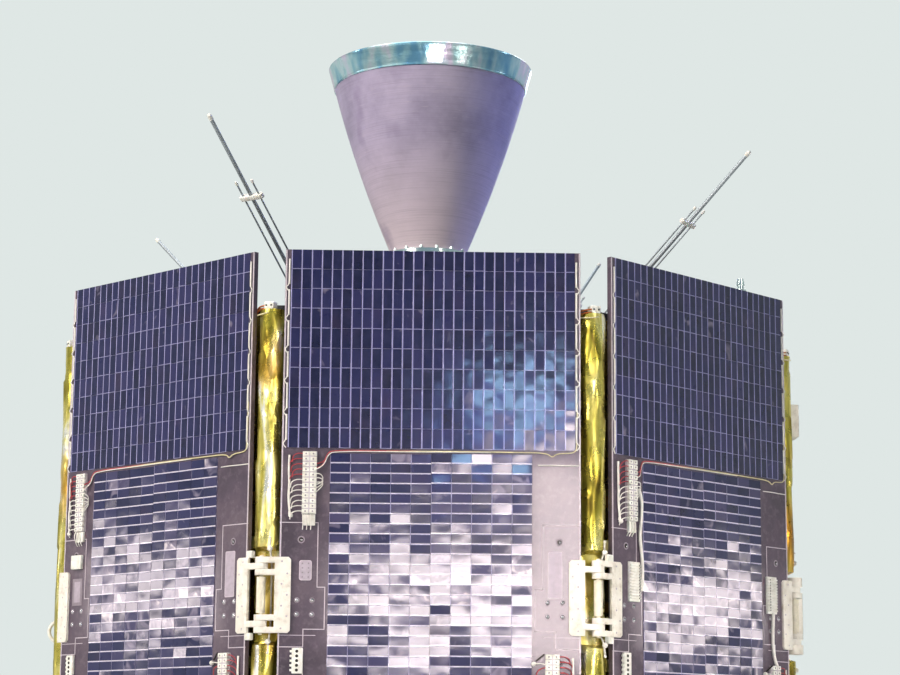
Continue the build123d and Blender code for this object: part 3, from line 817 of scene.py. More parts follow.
def panelPads(row):
    d = dotSettings
    bm = bmesh.new()
    for side, kind in zip((-1, 1), row["beside"]):
        pad = padSettings[kind]
        x, y = side * pad["centre"][0], pad["centre"][1]
        if kind == "ribbed":
            ribbedPad(bm, pad, x, y, side)
        elif kind == "boxed":
            boxedPad(bm, pad, x, y)
        else:
            flatPad(bm, pad, x, y)
        if kind == "rounded":
            for across in (-d["across"], d["across"]):
                for shift in spaced(d["lines"], d["pitch"]):
                    addDome(bm, (x + across, y + shift, pad["size"][2]), d["radius"], d["height"], 8, 0)
    finishPanelPiece("pads", row, bm, ["padGrey", "whiteResin", "darkBolt", "padPale", "edgeTape"])


fastenerSettings = {
    "groupCentre": (0.2485, -0.015),
    "groupReach": (0.015, 0.014),
    "headRadius": 0.0042,
    "headHeight": 0.0030,
    "holdDown": (0.257, 0.119),
    "washer": 0.0075,
    "leafScrews": (
        (0.294, 0.066), (0.283, 0.042), (0.294, 0.0215), (0.283, 0.0), (0.294, -0.0215),
        (0.283, -0.042), (0.294, -0.066)),
    "leafTop": 0.0060,
    "leafHead": 0.0021,
}


def panelFasteners(row):
    s = fastenerSettings
    washer = s["washer"]
    bm = bmesh.new()
    for side in (-1, 1):
        for across in (-1, 1):
            for level in (-1, 1):
                x = side * s["groupCentre"][0] + across * s["groupReach"][0]
                y = s["groupCentre"][1] + level * s["groupReach"][1]
                addRod(bm, (x, y, 0), (x, y, 0.0008), s["headRadius"] * 1.35, 12, 1)
                addDome(bm, (x, y, 0.0008), s["headRadius"], s["headHeight"], 10, 0)
        for level in (-1, 1):
            x, y = side * s["holdDown"][0], level * s["holdDown"][1]
            addRod(bm, (x, y, 0), (x, y, 0.0010), washer, 14, 1)
            # painted shade: the hole is a thin dark disc laid on the washer
            addRod(bm, (x, y, 0.0010), (x, y, 0.0014), washer * 0.62, 12, 2)
            addDome(bm, (x + 0.001, y - 0.0006, 0.0014), washer * 0.38, 0.0024, 8, 0)
        for x, y in s["leafScrews"]:
            addDome(bm, (side * x, y + hingeRise, s["leafTop"]), s["leafHead"], 0.0008, 8, 3)
    finishPanelPiece("fasteners", row, bm, ["boltHead", "padGrey", "darkBolt", "boardResin"])


# Terminal boards with their wiring

boardSettings = {
    "upper": (-0.243, 0.2326),
    "lower": (0.243, -0.1656),
    "size": (0.029, 0.126),
    "base": 0.004,
    "rows": 12,
    "blockDepth": 0.0062,
    "loopReach": 0.0230,
    "headBox": (0.024, 0.022, 0.0065),
    "headPlace": (-0.242, 0.158, 0.0032),
    "knobs": ((-0.279, 0.167, 0.006), (0.206, -0.122, 0.005)),
    "knobRadius": 0.0050,
}
stripSettings = {
    "centre": (-0.260, -0.120),
    "size": (0.022, 0.050, 0.0075),
    "holes": 5,
    "pitch": 0.0092,
    "hole": 0.0032,
    "tab": (0.006, 0.0045, 0.004),
    "tabShift": -0.012,
}


def terminalBlocks(bm, centre):
    s = boardSettings
    width, height = s["size"]
    pitch = height / s["rows"]
    size = (width / 2 - 0.0010, pitch - 0.0012, s["blockDepth"])
    for shift in spaced(s["rows"], pitch):
        for column in (-1, 1):
            x, y = centre[0] + column * width / 4, centre[1] + shift
            addBox(bm, size, (x, y, s["base"] + s["blockDepth"] / 2), 0.0012, 0)
            addDome(bm, (x, y, s["base"] + s["blockDepth"]), 0.0019, 0.0009, 6, 3)


def panelBoards(row):
    # rows of terminals on the two boards, a short strip low on the left, and end knobs
    s, t = boardSettings, stripSettings
    bm = bmesh.new()
    terminalBlocks(bm, s["upper"])
    terminalBlocks(bm, s["lower"])
    x, y = t["centre"]
    depth = t["size"][2]
    addBox(bm, t["size"], (x, y, depth / 2), 0.0016, 0)
    for shift in spaced(t["holes"], t["pitch"]):
        level = y + shift
        # painted shade: each hole is a thin dark disc on the strip's face
        addRod(bm, (x - 0.001, level, depth - 0.001), (x - 0.001, level, depth + 0.0003), t["hole"], 8, 1)
        addBox(bm, t["tab"], (x + t["tabShift"], level, depth / 2), 0.0008, 0)
    addBox(bm, s["headBox"], s["headPlace"], 0.0014, 0)
    for spot in s["knobs"]:
        addDome(bm, spot, s["knobRadius"], s["knobRadius"], 10, 2)
    addRod(bm, (0.211, -0.116, 0.004), (0.227, -0.103, 0.009), 0.0016, 8, 1)
    finishPanelPiece("terminals", row, bm, ["whiteResin", "darkBolt", "wireWhite", "padGrey"])


wireSettings = {
    "thin": 0.0011,
    "yellow": 0.00121,
    "bundle": 0.0024,
    "cable": 0.0036,
    "gapLine": 0.2980,  # between the upright and the flat cells
    "edge": 0.2915,
    "cellsLow": 0.303,
    "sleeves": 6,
    "sleeve": 0.0019,
    "sleeveLine": ((0, 0.006, 0.0018), (0.5, 0, 0.0022), (1, -0.006, 0.0018)),
    "loop": 0.0065,
    "loopLine": (
        (0, 0.010, 0.002), (0.3, 0.003, 0.003), (1, 0, 0.0035), (0.6, -0.006, 0.003), (0, -0.010, 0.002)),
}


def boardLoops(centre, side, lines):
    # short leads that arch from each terminal to the bundle beside the board
    s = boardSettings
    shifts = spaced(s["rows"], s["size"][1] / s["rows"])
    start = centre[0] + side * s["size"][0] / 2
    routes = []
    for line in lines:
        y = centre[1] + shifts[line]
        reach = s["loopReach"] + 0.003 * math.sin(line * 2.1)
        steps = ((-0.002, 0, 0.007), (0.006, 0.001, 0.011), (reach * 0.8, -0.002, 0.009),
                 (reach, -0.008, 0.004), (reach, -0.016, 0.003))
        routes.append([(start + side * away, y + rise, z) for away, rise, z in steps])
    return routes


def bothLoops(lines):
    return boardLoops(boardSettings["upper"], -1, lines) + boardLoops(boardSettings["lower"], 1, lines)


def edgeSleeves():
    # short sleeves down both edges of the upright cells, and the loops between them
    s = wireSettings
    low = s["cellsLow"] + 0.010
    pitch = (panelHalfHeight - 0.014 - low) / s["sleeves"]
    starts = [low + pitch * index for index in range(s["sleeves"])]
    starts += [-start - pitch for start in starts]
    sleeves, loops = [], []
    for side in (-1, 1):
        x, bend = side * s["edge"], side * s["loop"]
        for y in starts:
            sleeves.append([(x, y + pitch * share + rise, z) for share, rise, z in s["sleeveLine"]])
            loops.append([(x + bend * share, y + rise, z) for share, rise, z in s["loopLine"]])
    return sleeves, loops


def redWires(gap):
    routes = bothLoops(range(7, 12))
    for i in range(2):
        routes.append([
            (-0.234, 0.270 - i * 0.009, 0.007), (-0.224, 0.271 - i * 0.009, 0.010),
            (-0.214, 0.276 - i * 0.004, 0.004), (-0.209, 0.290, 0.003), (-0.200, gap + 0.0008, 0.002),
            (-0.110, gap + 0.001, 0.0016), (-0.02 - 0.05 * i, gap + 0.001, 0.0012)])
    routes.append([
        (0.233, -0.128, 0.007), (0.222, -0.130, 0.010), (0.212, -0.136, 0.005), (0.210, -0.150, 0.003)])
    return routes


def whiteWires(gap):
    routes = bothLoops(range(7))
    routes.append([
        (-0.234, 0.258, 0.007), (-0.222, 0.262, 0.011), (-0.213, 0.272, 0.004), (-0.207, 0.289, 0.003),
        (-0.195, gap - 0.001, 0.002), (-0.05, gap - 0.001, 0.0016), (0.12, gap, 0.0014)])
    for i in range(3):
        routes.append([
            (-0.234, 0.250 - i * 0.009, 0.007), (-0.224, 0.252 - i * 0.009, 0.012),
            (-0.215, 0.244 - i * 0.006, 0.006), (-0.219, 0.231 - i * 0.004, 0.004),
            (-0.234, 0.228 - i * 0.009, 0.007)])
    for x in (-0.255, -0.247, -0.239):
        routes.append([
            (x, 0.172, 0.005), (x, 0.163, 0.011), (x + 0.001, 0.150, 0.008), (x, 0.139, 0.001)])
    return routes + [
        [(0.214, 0.273, 0.0012), (0.245, 0.2735, 0.0025), (0.270, 0.2728, 0.0012), (0.296, 0.273, 0.001)],
        [(0.206, -0.122, 0.005), (0.216, -0.121, 0.009), (0.226, -0.122, 0.009), (0.234, -0.124, 0.007)],
        [(-0.250, -0.142, 0.004), (-0.247, -0.160, 0.003), (-0.249, -0.220, 0.0015),
         (-0.248, -0.300, 0.0012)],
    ]


bundleRoutes = (
    ((-0.2835, 0.288, 0.003), (-0.2850, 0.262, 0.0045), (-0.2825, 0.232, 0.003), (-0.2850, 0.200, 0.0045),
     (-0.2800, 0.167, 0.005)),
    ((0.2835, -0.110, 0.003), (0.2845, -0.150, 0.0045), (0.2825, -0.190, 0.003), (0.2840, -0.225, 0.002)),
)
cableRoutes = (
    ((-0.226, 0.236, 0.009), (-0.2145, 0.222, 0.009), (-0.2130, 0.180, 0.006), (-0.2185, 0.140, 0.005),
     (-0.2120, 0.110, 0.005), (-0.2100, 0.070, 0.006), (-0.2150, 0.030, 0.008)),
    ((0.236, 0.012, 0.007), (0.237, -0.004, 0.006), (0.2365, -0.040, 0.004), (0.238, -0.075, 0.004),
     (0.243, -0.096, 0.006), (0.246, -0.106, 0.009)),
)


def panelWires(row):
    s = wireSettings
    matrix = faceMatrix(row["azimuth"])
    body = row["name"] + "_wing_panel"

    def lay(kind, routes, radius, material="wireWhite"):
        wirePiece(kind + "_" + row["name"], routes, radius, body, material, matrix)

    gap, edge = s["gapLine"], s["edge"]
    sleeves, loops = edgeSleeves()
    lay("wires_red", redWires(gap), s["thin"], "wireRed")
    lay("wires_white", whiteWires(gap) + loops, s["thin"])
    lay("sleeves", sleeves, s["sleeve"])
    lay("bundle", bundleRoutes, s["bundle"])
    lay("wires_yellow", [[
        (-0.09, gap, 0.0014), (0.05, gap + 0.0012, 0.0016), (0.18, gap + 0.0005, 0.002),
        (0.232, gap, 0.003), (0.242, gap - 0.010, 0.005), (0.252, gap - 0.001, 0.003), (0.280, gap, 0.0018),
        (edge, gap + 0.004, 0.0018), (edge + 0.001, gap + 0.03, 0.0016), (edge + 0.0015, 0.40, 0.0014),
    ]], s["yellow"], "wireYellow")
    if "ribbed" in row["beside"]:
        lay("cable", cableRoutes, s["cable"])


for row in panelRows:
    panelDoublers(row)
    panelPads(row)
    panelFasteners(row)
    panelBoards(row)
    panelWires(row)
print("panel details done")


# Backs of the panels: potted inserts, cups for the hold-down posts, plates and a flat harness

backSettings = {
    "skin": -0.010,
    "insert": 0.0042,
    "insertHeight": 0.0007,
    "columns": 7,
    "rows": 15,
    "edge": 0.020,
    "cup": 0.0216,
    "cupHeight": 0.0009,
    "tape": (0.020, 0.0012),
    "branch": (0.014, 0.42, 0.0012),
    "branchPlace": (0.243, -0.02),
    "bracket": (0.030, 0.150, 0.0020),
    "bracketEdge": 0.004,
}


def panelBacks(row):
    s = backSettings
    face = s["skin"]
    bm = bmesh.new()
    for column in range(s["columns"]):
        for line in range(s["rows"]):
            x = (column / (s["columns"] - 1) - 0.5) * 2 * (panelHalfWidth - s["edge"])
            y = (line / (s["rows"] - 1) - 0.5) * 2 * (panelHalfHeight - s["edge"])
            addRod(bm, (x, y, face - s["insertHeight"]), (x, y, face), s["insert"], 10, 0)
    reach = fastenerSettings["holdDown"]
    width, depth = s["tape"]
    bracketX = panelHalfWidth - s["bracket"][0] / 2 - s["bracketEdge"]
    addBox(bm, (2 * panelHalfWidth - 0.07, width, depth), (0, 0, face - depth / 2), 0.0003, 1)
    for side in (-1, 1):
        for level in (-1, 1):
            x, y = side * reach[0], level * reach[1]
            addRod(bm, (x, y, face - s["cupHeight"]), (x, y, face), s["cup"], 18, 2)
        addBox(bm, s["bracket"], (side * bracketX, hingeRise, face - s["bracket"][2] / 2), 0.0008, 2)
        x, y = s["branchPlace"]
        addBox(bm, s["branch"], (side * x, side * y, face - s["branch"][2] / 2), 0.0003, 1)
    finishPanelPiece("panel_backs", row, bm, ["padGrey", "harnessTape", "aluminium"])


deckSettings = {
    "edge": 0.014,
    "screwsPerSide": 9,
    "screw": (0.0042, 0.0022),
    "corner": 0.05,
    "seam": (0.012, 0.0008),
    "seamStart": 0.345,
    "seamEnd": 0.040,
    "cable": 0.0026,
    "cableLine": (
        (0.440, 0.012, 0.006), (0.455, 0.014, 0), (0.520, 0.030, 0), (0.600, 0.020, 0), (0.660, 0.045, 0),
        (0.700, 0.060, 0), (0.715, 0.062, -0.004)),
    "grommet": (0.0075, 0.0055),
}


def deckDetails():
    # screws round the edge, taped seams from the motor to the corners, and the antennas' cables
    s = deckSettings
    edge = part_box("upper_deck")[1].x
    half = edge * math.tan(halfTurn) - s["corner"]
    start, end = s["seamStart"], edge / math.cos(halfTurn) - s["seamEnd"]
    width, depth = s["seam"]
    bm = bmesh.new()
    for azimuth in columnAzimuths:
        for step in range(s["screwsPerSide"]):
            shift = half * (2 * step / (s["screwsPerSide"] - 1) - 1)
            addDome(bm, spotAt(azimuth - 22.5, edge - s["edge"], shift, deckTop), *s["screw"], 8, 0)
        turn = Matrix.Rotation(math.radians(azimuth - 90), 4, "Z")
        middle = spotAt(azimuth, (start + end) / 2, 0, deckTop + depth / 2)
        addBox(bm, (end - start, width, depth), middle, 0.0003, 1, turn)
    routes = []
    for azimuth in antennaAzimuths:
        addDome(bm, spotAt(azimuth, *s["cableLine"][-1][:2], deckTop), *s["grommet"], 12, 0)
        level = deckTop + s["cable"]
        routes.append([spotAt(azimuth, out, side, level + rise) for out, side, rise in s["cableLine"]])
    finishBusPiece("deck_fasteners", bm, ["boltHead", "deckTape"])
    wirePiece("antenna_feeds", routes, s["cable"], "bus", "feedCable")


for row in panelRows:
    panelBacks(row)
deckDetails()
print("backs and deck done")


# Wire clips beside the hinges, the knotted leads in the corners, and the test sockets

clipSettings = {
    "size": (0.017, 0.014, 0.010),
    "centre": (0.3085, 0.0815, -0.001),
}
leadSettings = {
    "circle": 0.849,
    "stand": 0.0282,
    "turn": 35,  # from the corner column's own azimuth
    "sunkCircle": 0.8535,
    "sunkShift": 0.012,
    "radius": 0.0019,
    "straight": 0.03,  # from the hinge's middle
    "bendRise": 0.064,
    "ballRise": 0.092,
    "knobRise": 0.114,
    "boomRoom": 0.025,  # the booms' arms reach further up and down
    "ball": 0.0058,
    "knob": 0.0030,
}
socketSettings = {
    "place": (0.152, -0.006),  # along the top edge, and back from the outer face
    "plate": (0.024, 0.004, 0.014),
    "radius": 0.0075,
    "height": 0.026,
    "collar": (0.45, 0.75, 1.22),  # start and end as shares of the height, and its radius
    "face": 0.8,
}


def wireClips(row):
    s = clipSettings
    x, y, z = s["centre"]
    bm = bmesh.new()
    for level in (-y, y):
        addBox(bm, s["size"], (row["clip"] * x, hingeRise + level, z), 0.0018)
    finishPanelPiece("clips", row, bm, ["whiteResin"])


def cornerLeads():
    s = leadSettings
    turn = math.radians(s["turn"])
    distance, shift = s["circle"] + s["stand"] * math.cos(turn), s["stand"] * math.sin(turn)
    routes = []
    bm = bmesh.new()
    for azimuth in hingeColumns:
        room = s["boomRoom"] if azimuth in boomColumns else 0.0
        bend, ballRise, knobRise = (s[key] + room for key in ("bendRise", "ballRise", "knobRise"))
        above = (s["straight"], bend, ballRise, knobRise)
        route = []
        for rise in (*[-rise for rise in reversed(above)], 0, *above):
            sunk = abs(rise) <= bend
            place = (s["sunkCircle"], s["sunkShift"]) if sunk else (distance, shift)
            route.append(spotAt(azimuth, *place, hingeMiddle + rise))
        routes.append(route)
        for rise, radius in ((ballRise, s["ball"]), (knobRise, s["knob"])):
            for level in (hingeMiddle - rise, hingeMiddle + rise):
                ball = bmesh.ops.create_icosphere(bm, subdivisions=2, radius=radius)["verts"]
                bmesh.ops.translate(bm, vec=spotAt(azimuth, distance + 0.001, shift, level), verts=ball)
    wirePiece("corner_leads", routes, s["radius"], "bus", "wireWhite")
    finishBusPiece("lead_knots", bm, ["wireWhite"])


def testSocket(row):
    # a small round connector standing on the panel's top edge
    s = socketSettings
    x, z = s["place"]
    top, height, radius = panelHalfHeight, s["height"], s["radius"]
    low, high, wide = s["collar"]
    bm = bmesh.new()
    addBox(bm, s["plate"], (x, top + 0.0015, z), 0.0008, 0)
    addRod(bm, (x, top, z), (x, top + height, z), radius, 18, 0)
    addRod(bm, (x, top + height * low, z), (x, top + height * high, z), radius * wide, 18, 0)
    addRod(bm, (x, top + height, z), (x, top + height + 0.0004, z), radius * s["face"], 14, 1)
    finishPanelPiece("test_socket", row, bm, ["flangeSilver", "darkBolt"])


for row in panelRows:
    if row["clip"]:
        wireClips(row)
    if "ribbed" in row["beside"]:
        testSocket(row)
cornerLeads()
print("clips, leads and sockets done")


# Screws and small parts of the bus

blockSettings = {
    "circle": 0.8715,
    "height": 1.366,
    "across": 0.0055,
    "head": (0.0021, 0.0012),
}
ringSettings = {
    "bolts": 12,
    "circle": 0.483,
    "flange": 0.010,
    "head": (0.0062, 0.005),
}
driveSettings = {
    "bolts": 8,
    "circle": 0.060,
    "stand": 0.0100,
    "head": (0.0044, 0.0030),
}
skirtSettings = {
    "bolts": 24,
    "circle": 0.318,
    "rise": 0.008,
    "head": (0.0048, 0.0045),
}


def busFasteners():
    s, r, d = blockSettings, ringSettings, driveSettings
    bm = bmesh.new()
    for azimuth in columnAzimuths:
        for across in (-s["across"], s["across"]):
            spot = spotAt(azimuth, s["circle"], across, s["height"])
            addDome(bm, spot, *s["head"], 8, 1, outward(azimuth))
    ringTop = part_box("adapter_ring")[1].z
    radius, height = r["head"]
    for level, up in ((r["flange"], height), (ringTop - r["flange"], -height)):
        for base in ringSpots(r["bolts"], r["circle"], level, 1.0):
            addRod(bm, base, base + Vector((0, 0, up)), radius, 6)
    for row in boomRows:
        for spot in ringSpots(d["bolts"], d["circle"], 0):
            place = spotAt(row["azimuth"], bodyApothem + d["stand"], spot.x, hingeMiddle + spot.y)
            addDome(bm, place, *d["head"], 8, 0, outward(row["azimuth"]))
    finishBusPiece("bus_fasteners", bm, ["boltHead", "darkBolt"])


def skirtBolts():
    s = skirtSettings
    radius, height = s["head"]
    bm = bmesh.new()
    for spot in ringSpots(s["bolts"], s["circle"], deckTop + s["rise"], 0):
        addRod(bm, spot, spot + Vector((0, 0, height)), radius, 6)
    finishBusPiece("skirt_bolts", bm, ["boltHead"])


bondSettings = {
    "copper": (
        (0.869, -0.008, 1.366), (0.870, -0.016, 1.365), (0.864, -0.026, 1.363), (0.852, -0.036, 1.358),
        (0.838, -0.044, 1.354)),
    "copperPitch": 0.006,
    "copperRadius": 0.0017,
    "pale": (
        (0.876, 0.002, 1.350), (0.8775, -0.010, 1.347), (0.870, -0.024, 1.347), (0.852, -0.034, 1.349)),
    "paleRadius": 0.0016,
}


def bondingWires():
    # two wires that leave each corner block sideways, with a pale one under them
    s = bondSettings
    copper, pale = [], []
    for azimuth in hingeColumns:
        for drop in (0, s["copperPitch"]):
            copper.append([spotAt(azimuth, out, side, level - drop) for out, side, level in s["copper"]])
        pale.append([spotAt(azimuth, *place) for place in s["pale"]])
    wirePiece("bonding_wires", copper, s["copperRadius"], "bus", "wireCopper")
    wirePiece("pale_leads", pale, s["paleRadius"], "bus", "wireYellow")


antennaSettings = {
    "baseCircle": 0.410,
    "baseHeight": 1.382,
    "tipCircle": 0.847,
    "rise": 0.410,
    "rodLength": 0.430,
    "rodSpread": 0.021,
    "whipCap": 0.0052,
    "whipSleeve": 0.010,
    "rodCap": 0.0032,
    "rodSleeve": 0.006,
}


def antennaTips():
    # white caps on the whips and on the rods beside them
    s = antennaSettings
    bm = bmesh.new()
    for azimuth in antennaAzimuths:
        base = spotAt(azimuth, s["baseCircle"], 0, s["baseHeight"])
        tip = spotAt(azimuth, s["tipCircle"], 0, s["baseHeight"] + s["rise"])
        line = (tip - base).normalized()
        end = tip - line * 0.001
        addDome(bm, end, s["whipCap"], s["whipCap"] * 1.1, 12, 0, line)
        addRod(bm, tip - line * s["whipSleeve"], end, s["whipCap"], 12)
        for across in (-s["rodSpread"], s["rodSpread"]):
            end = base + line * s["rodLength"] + along(azimuth) * across
            addDome(bm, end, s["rodCap"], s["rodCap"] * 1.2, 10, 0, line)
            addRod(bm, end - line * s["rodSleeve"], end, s["rodCap"], 10)
    finishBusPiece("antenna_caps", bm, ["whiteResin"])


busFasteners()
skirtBolts()
bondingWires()
antennaTips()
print("bus details done")


# Gold film on the columns and the body's sides

columnSettings = {
    "circle": 0.849,
    "radius": 0.026,
    "segments": 26,
    "rings": 150,
    "recessFace": 0.850,
    "recessShare": 0.92,
    "crumpleSize": (0.028, 0.028, 0.100),
    "depth": 0.0036,
}
wallSettings = {
    "inset": 0.001,
    "rings": 63,
    "cuts": 35,
    "edge": 0.002,
    "crumpleSize": (0.06, 0.06, 0.11),
    "depth": 0.0034,
    "seed": 11,
}


def addFilmTube(bm, azimuth, distance, radius, segments, rings, turn=0.0):
    # as tall as the body, cut into rings
    place = spotAt(azimuth, distance, 0, (bodyHigh.z + bodyLow.z) / 2)
    made = bmesh.ops.create_cone(
        bm, cap_ends=True, segments=segments, radius1=radius, radius2=radius, depth=bodyHeight,
        matrix=Matrix.Translation(place) @ Matrix.Rotation(turn, 4, "Z"))["verts"]
    cut = bmesh.ops.subdivide_edges(bm, edges=uprightEdges(made, 0.1), cuts=rings, use_grid_fill=True)
    return [g for g in cut["geom_inner"] if isinstance(g, bmesh.types.BMVert)]


def filmColumns():
    s = columnSettings
    recessLow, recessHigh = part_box("corner_columns_middle")
    bm = bmesh.new()
    for index, azimuth in enumerate(columnAzimuths):
        ring = addFilmTube(bm, azimuth, s["circle"], s["radius"], s["segments"], s["rings"])
        crumple(bm, ring, s["crumpleSize"], s["depth"], index + 3)
        if azimuth in freeColumns:
            continue
        out = outward(azimuth)
        for vert in ring:
            past = vert.co.dot(out) - s["recessFace"]
            if recessLow.z < vert.co.z < recessHigh.z and past > 0:
                vert.co -= out * past * s["recessShare"]
    finishBusPiece("film_columns", bm, ["goldFilm"],
                   ["corner_columns_lower", "corner_columns_middle", "corner_columns_upper"], 50)


def filmWalls():
    s = wallSettings
    bm = bmesh.new()
    addFilmTube(bm, 0, 0, (bodyApothem - s["inset"]) / math.cos(halfTurn), 8, s["rings"], halfTurn)
    level = [e for e in bm.edges if abs(e.verts[0].co.z - e.verts[1].co.z) < 0.001]
    bmesh.ops.subdivide_edges(bm, edges=level, cuts=s["cuts"], use_grid_fill=True)
    inner = [v for v in bm.verts if bodyLow.z + s["edge"] < v.co.z < bodyHigh.z - s["edge"]]
    crumple(bm, inner, s["crumpleSize"], s["depth"], s["seed"])
    finishBusPiece("film_walls", bm, ["goldBlanket"], ["body_blanket"], 50)


filmColumns()
filmWalls()
print("gold film done")


# Apogee motor, its flange and the nozzle

motorLow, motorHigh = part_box("motor_case")
lipLow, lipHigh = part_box("nozzle_lip")
motorSettings = {
    "drum": 0.300,
    "skirt": 0.335,
    "skirtThickness": 0.008,
    "domeHeight": 0.135,
    "domeSteps": 24,
    "neck": 0.062,
    "neckFillet": (0.008, 0.006),
    "throat": 0.036,
    "throatDepth": 0.060,
    "flange": 0.100,
    "flangeThickness": 0.012,
    "studs": 16,
    "studCircle": 0.0955,
    "nut": (0.0042, 0.004),
    "stud": (0.0024, 0.0065),
    "edge": 0.001,
}
coneSettings = {
    "base": 0.0885,
    "top": 0.2304,
    "swell": 0.0084,
    "wall": 0.006,
    "rings": 56,
    "ripple": 0.0003,
}
lipSettings = {
    "low": 0.2329,
    "high": 0.2465,
    "wall": 0.006,
    "rings": 12,
    "edge": 0.0015,
}


def motorShell():
    s = motorSettings
    drum, skirt, neck, throat, edge = (s[key] for key in ("drum", "skirt", "neck", "throat", "edge"))
    skirtTop = deckTop + s["skirtThickness"]
    flangeLow = motorHigh.z - s["flangeThickness"]
    throatLow = motorHigh.z - s["throatDepth"]
    foot = deckTop + 0.0005
    out, rise = s["neckFillet"]
    points = [(0, motorLow.z), (drum, motorLow.z), (drum, foot), (skirt, foot), (skirt, skirtTop - edge)]
    points += [(skirt - edge, skirtTop), (drum + 0.006, skirtTop), (drum, skirtTop + 0.004)]
    for step in range(1, s["domeSteps"] + 1):
        turn = math.radians(90 * step / s["domeSteps"])
        radius = neck + out + (drum - neck - out) * math.cos(turn)
        points.append((radius, skirtTop + s["domeHeight"] * math.sin(turn)))
    points += [(neck, skirtTop + s["domeHeight"] + rise), (neck, flangeLow - 0.020)]
    points += [(s["flange"] - 0.010, flangeLow), (throat, flangeLow), (throat, throatLow), (0, throatLow)]
    bm = bmesh.new()
    spinProfile(bm, points, 72)
    finishBusPiece("motor_shell", bm, ["caseWound"], ["motor_case"], 30)


def nozzleFlange():
    s = motorSettings
    top, low = motorHigh.z, motorHigh.z - s["flangeThickness"]
    wide, throat, edge = s["flange"], s["throat"], s["edge"]
    bm = bmesh.new()
    foot = (throat, low)
    spinProfile(bm, [foot, (wide, low), (wide, top - edge), (wide - edge, top), (throat, top), foot], 64)
    nutRadius, nutHeight = s["nut"]
    studRadius, studHeight = s["stud"]
    for spot in ringSpots(s["studs"], s["studCircle"], top):
        nutTop = spot + Vector((0, 0, nutHeight))
        addRod(bm, spot, nutTop, nutRadius, 6)
        addRod(bm, nutTop, spot + Vector((0, 0, studHeight)), studRadius, 8)
    finishBusPiece("nozzle_flange", bm, ["flangeSilver"], sharpAngle=30)


def nozzleBell():
    s = coneSettings
    outside = []
    for ring in range(s["rings"] + 1):
        share = ring / s["rings"]
        ripple = s["ripple"] * noise.noise(Vector((0, 0, ring * 0.83))) if 0 < ring < s["rings"] else 0
        radius = s["base"] + (s["top"] - s["base"]) * share + 4 * s["swell"] * share * (1 - share)
        outside.append((radius + ripple, coneLow.z + (coneHigh.z - coneLow.z) * share))
    inside = [(radius - s["wall"], height) for radius, height in reversed(outside[::8])]
    bm = bmesh.new()
    spinProfile(bm, outside + inside + outside[:1], 128)
    finishBusPiece("nozzle_bell", bm, ["nozzleWound"], ["nozzle_cone"], 30)


def nozzleRim():
    s = lipSettings
    low, high, edge = s["low"], s["high"], s["edge"]
    foot = (coneSettings["top"] - coneSettings["wall"], lipLow.z)
    points = [foot, (low - 0.001, lipLow.z), (low, lipLow.z + 0.001)]
    for step in range(1, s["rings"]):
        share = step / s["rings"]
        points.append((low + (high - low) * share, lipLow.z + (lipHigh.z - lipLow.z) * share))
    points += [(high, lipHigh.z - edge), (high - edge, lipHigh.z), (high - s["wall"], lipHigh.z), foot]
    bm = bmesh.new()
    spinProfile(bm, points, 128)
    finishBusPiece("nozzle_rim", bm, ["mirrorLip"], ["nozzle_lip"], 30)


motorShell()
nozzleFlange()
nozzleBell()
nozzleRim()
print("motor and nozzle done")


# Floor, lights and camera

backdropHex = "dfe7e5"


def studioFloor():
    m = Nodes("floorPale", "d9dcdb", 0.8, Specular_IOR_Level=0.1)
    m.base(m.ramp(m.noise(0.8, 3.0), (0.3, "cfd3d1"), (0.7, "d8dbda")))
    # far from the object the floor fades into the background
    reach = m.add("ShaderNodeVectorMath", {0: m.place}, operation="LENGTH").outputs["Value"]
    seen = m.add("ShaderNodeLightPath").outputs["Is Camera Ray"]
    glow = m.add("ShaderNodeEmission", {"Color": backdropHex}).outputs[0]
    share = m.math("MULTIPLY", m.span(reach, 1.5, 6.0), seen)
    mixed = m.add("ShaderNodeMixShader", {0: share, 1: m.shader.outputs[0], 2: glow}).outputs[0]
    m.tree.links.new(mixed, m.tree.nodes["Material Output"].inputs["Surface"])
    bm = bmesh.new()
    bmesh.ops.create_grid(bm, x_segments=1, y_segments=1, size=30.0)
    mesh = bpy.data.meshes.new("studio_floor")
    bm.to_mesh(mesh)
    bm.free()
    mesh.materials.append(m.material)
    floor = bpy.data.objects.new("studio_floor", mesh)
    bpy.context.scene.collection.objects.link(floor)


def studioWorld():
    # a soft grey dome to light the object, and a pale one for the camera and reflections
    world = bpy.data.worlds.new("studio")
    bpy.context.scene.world = world
    world.use_nodes = True
    tree = world.node_tree
    tree.nodes.clear()

    def add(kind, inputs=None):
        return addNode(tree, "ShaderNode" + kind, inputs)

    # what metal and glass mirror: a teal shade in front, paler to the sides and behind
    place = add("TexCoord").outputs["Generated"]
    depth = add("SeparateXYZ", {0: place}).outputs["Y"]
    share = add("MapRange", {"Value": depth, "From Min": -1.0, "From Max": 0.4}).outputs["Result"]
    ramp = add("ValToRGB", {"Fac": share})
    for element, colour in zip(ramp.color_ramp.elements, ("9db6c0", "eef7f4")):
        element.color = fromHex(colour)
    path = add("LightPath").outputs
    light = add("Background", {"Color": "e4ecee", "Strength": 0.34}).outputs[0]
    mirrored = add("Background", {"Color": ramp.outputs["Color"], "Strength": 0.55}).outputs[0]
    seen = add("Background", {"Color": backdropHex, "Strength": 1.0}).outputs[0]
    inner = add("MixShader", {0: path["Is Glossy Ray"], 1: light, 2: mirrored}).outputs[0]
    mixed = add("MixShader", {0: path["Is Camera Ray"], 1: inner, 2: seen}).outputs[0]
    add("OutputWorld", {"Surface": mixed})


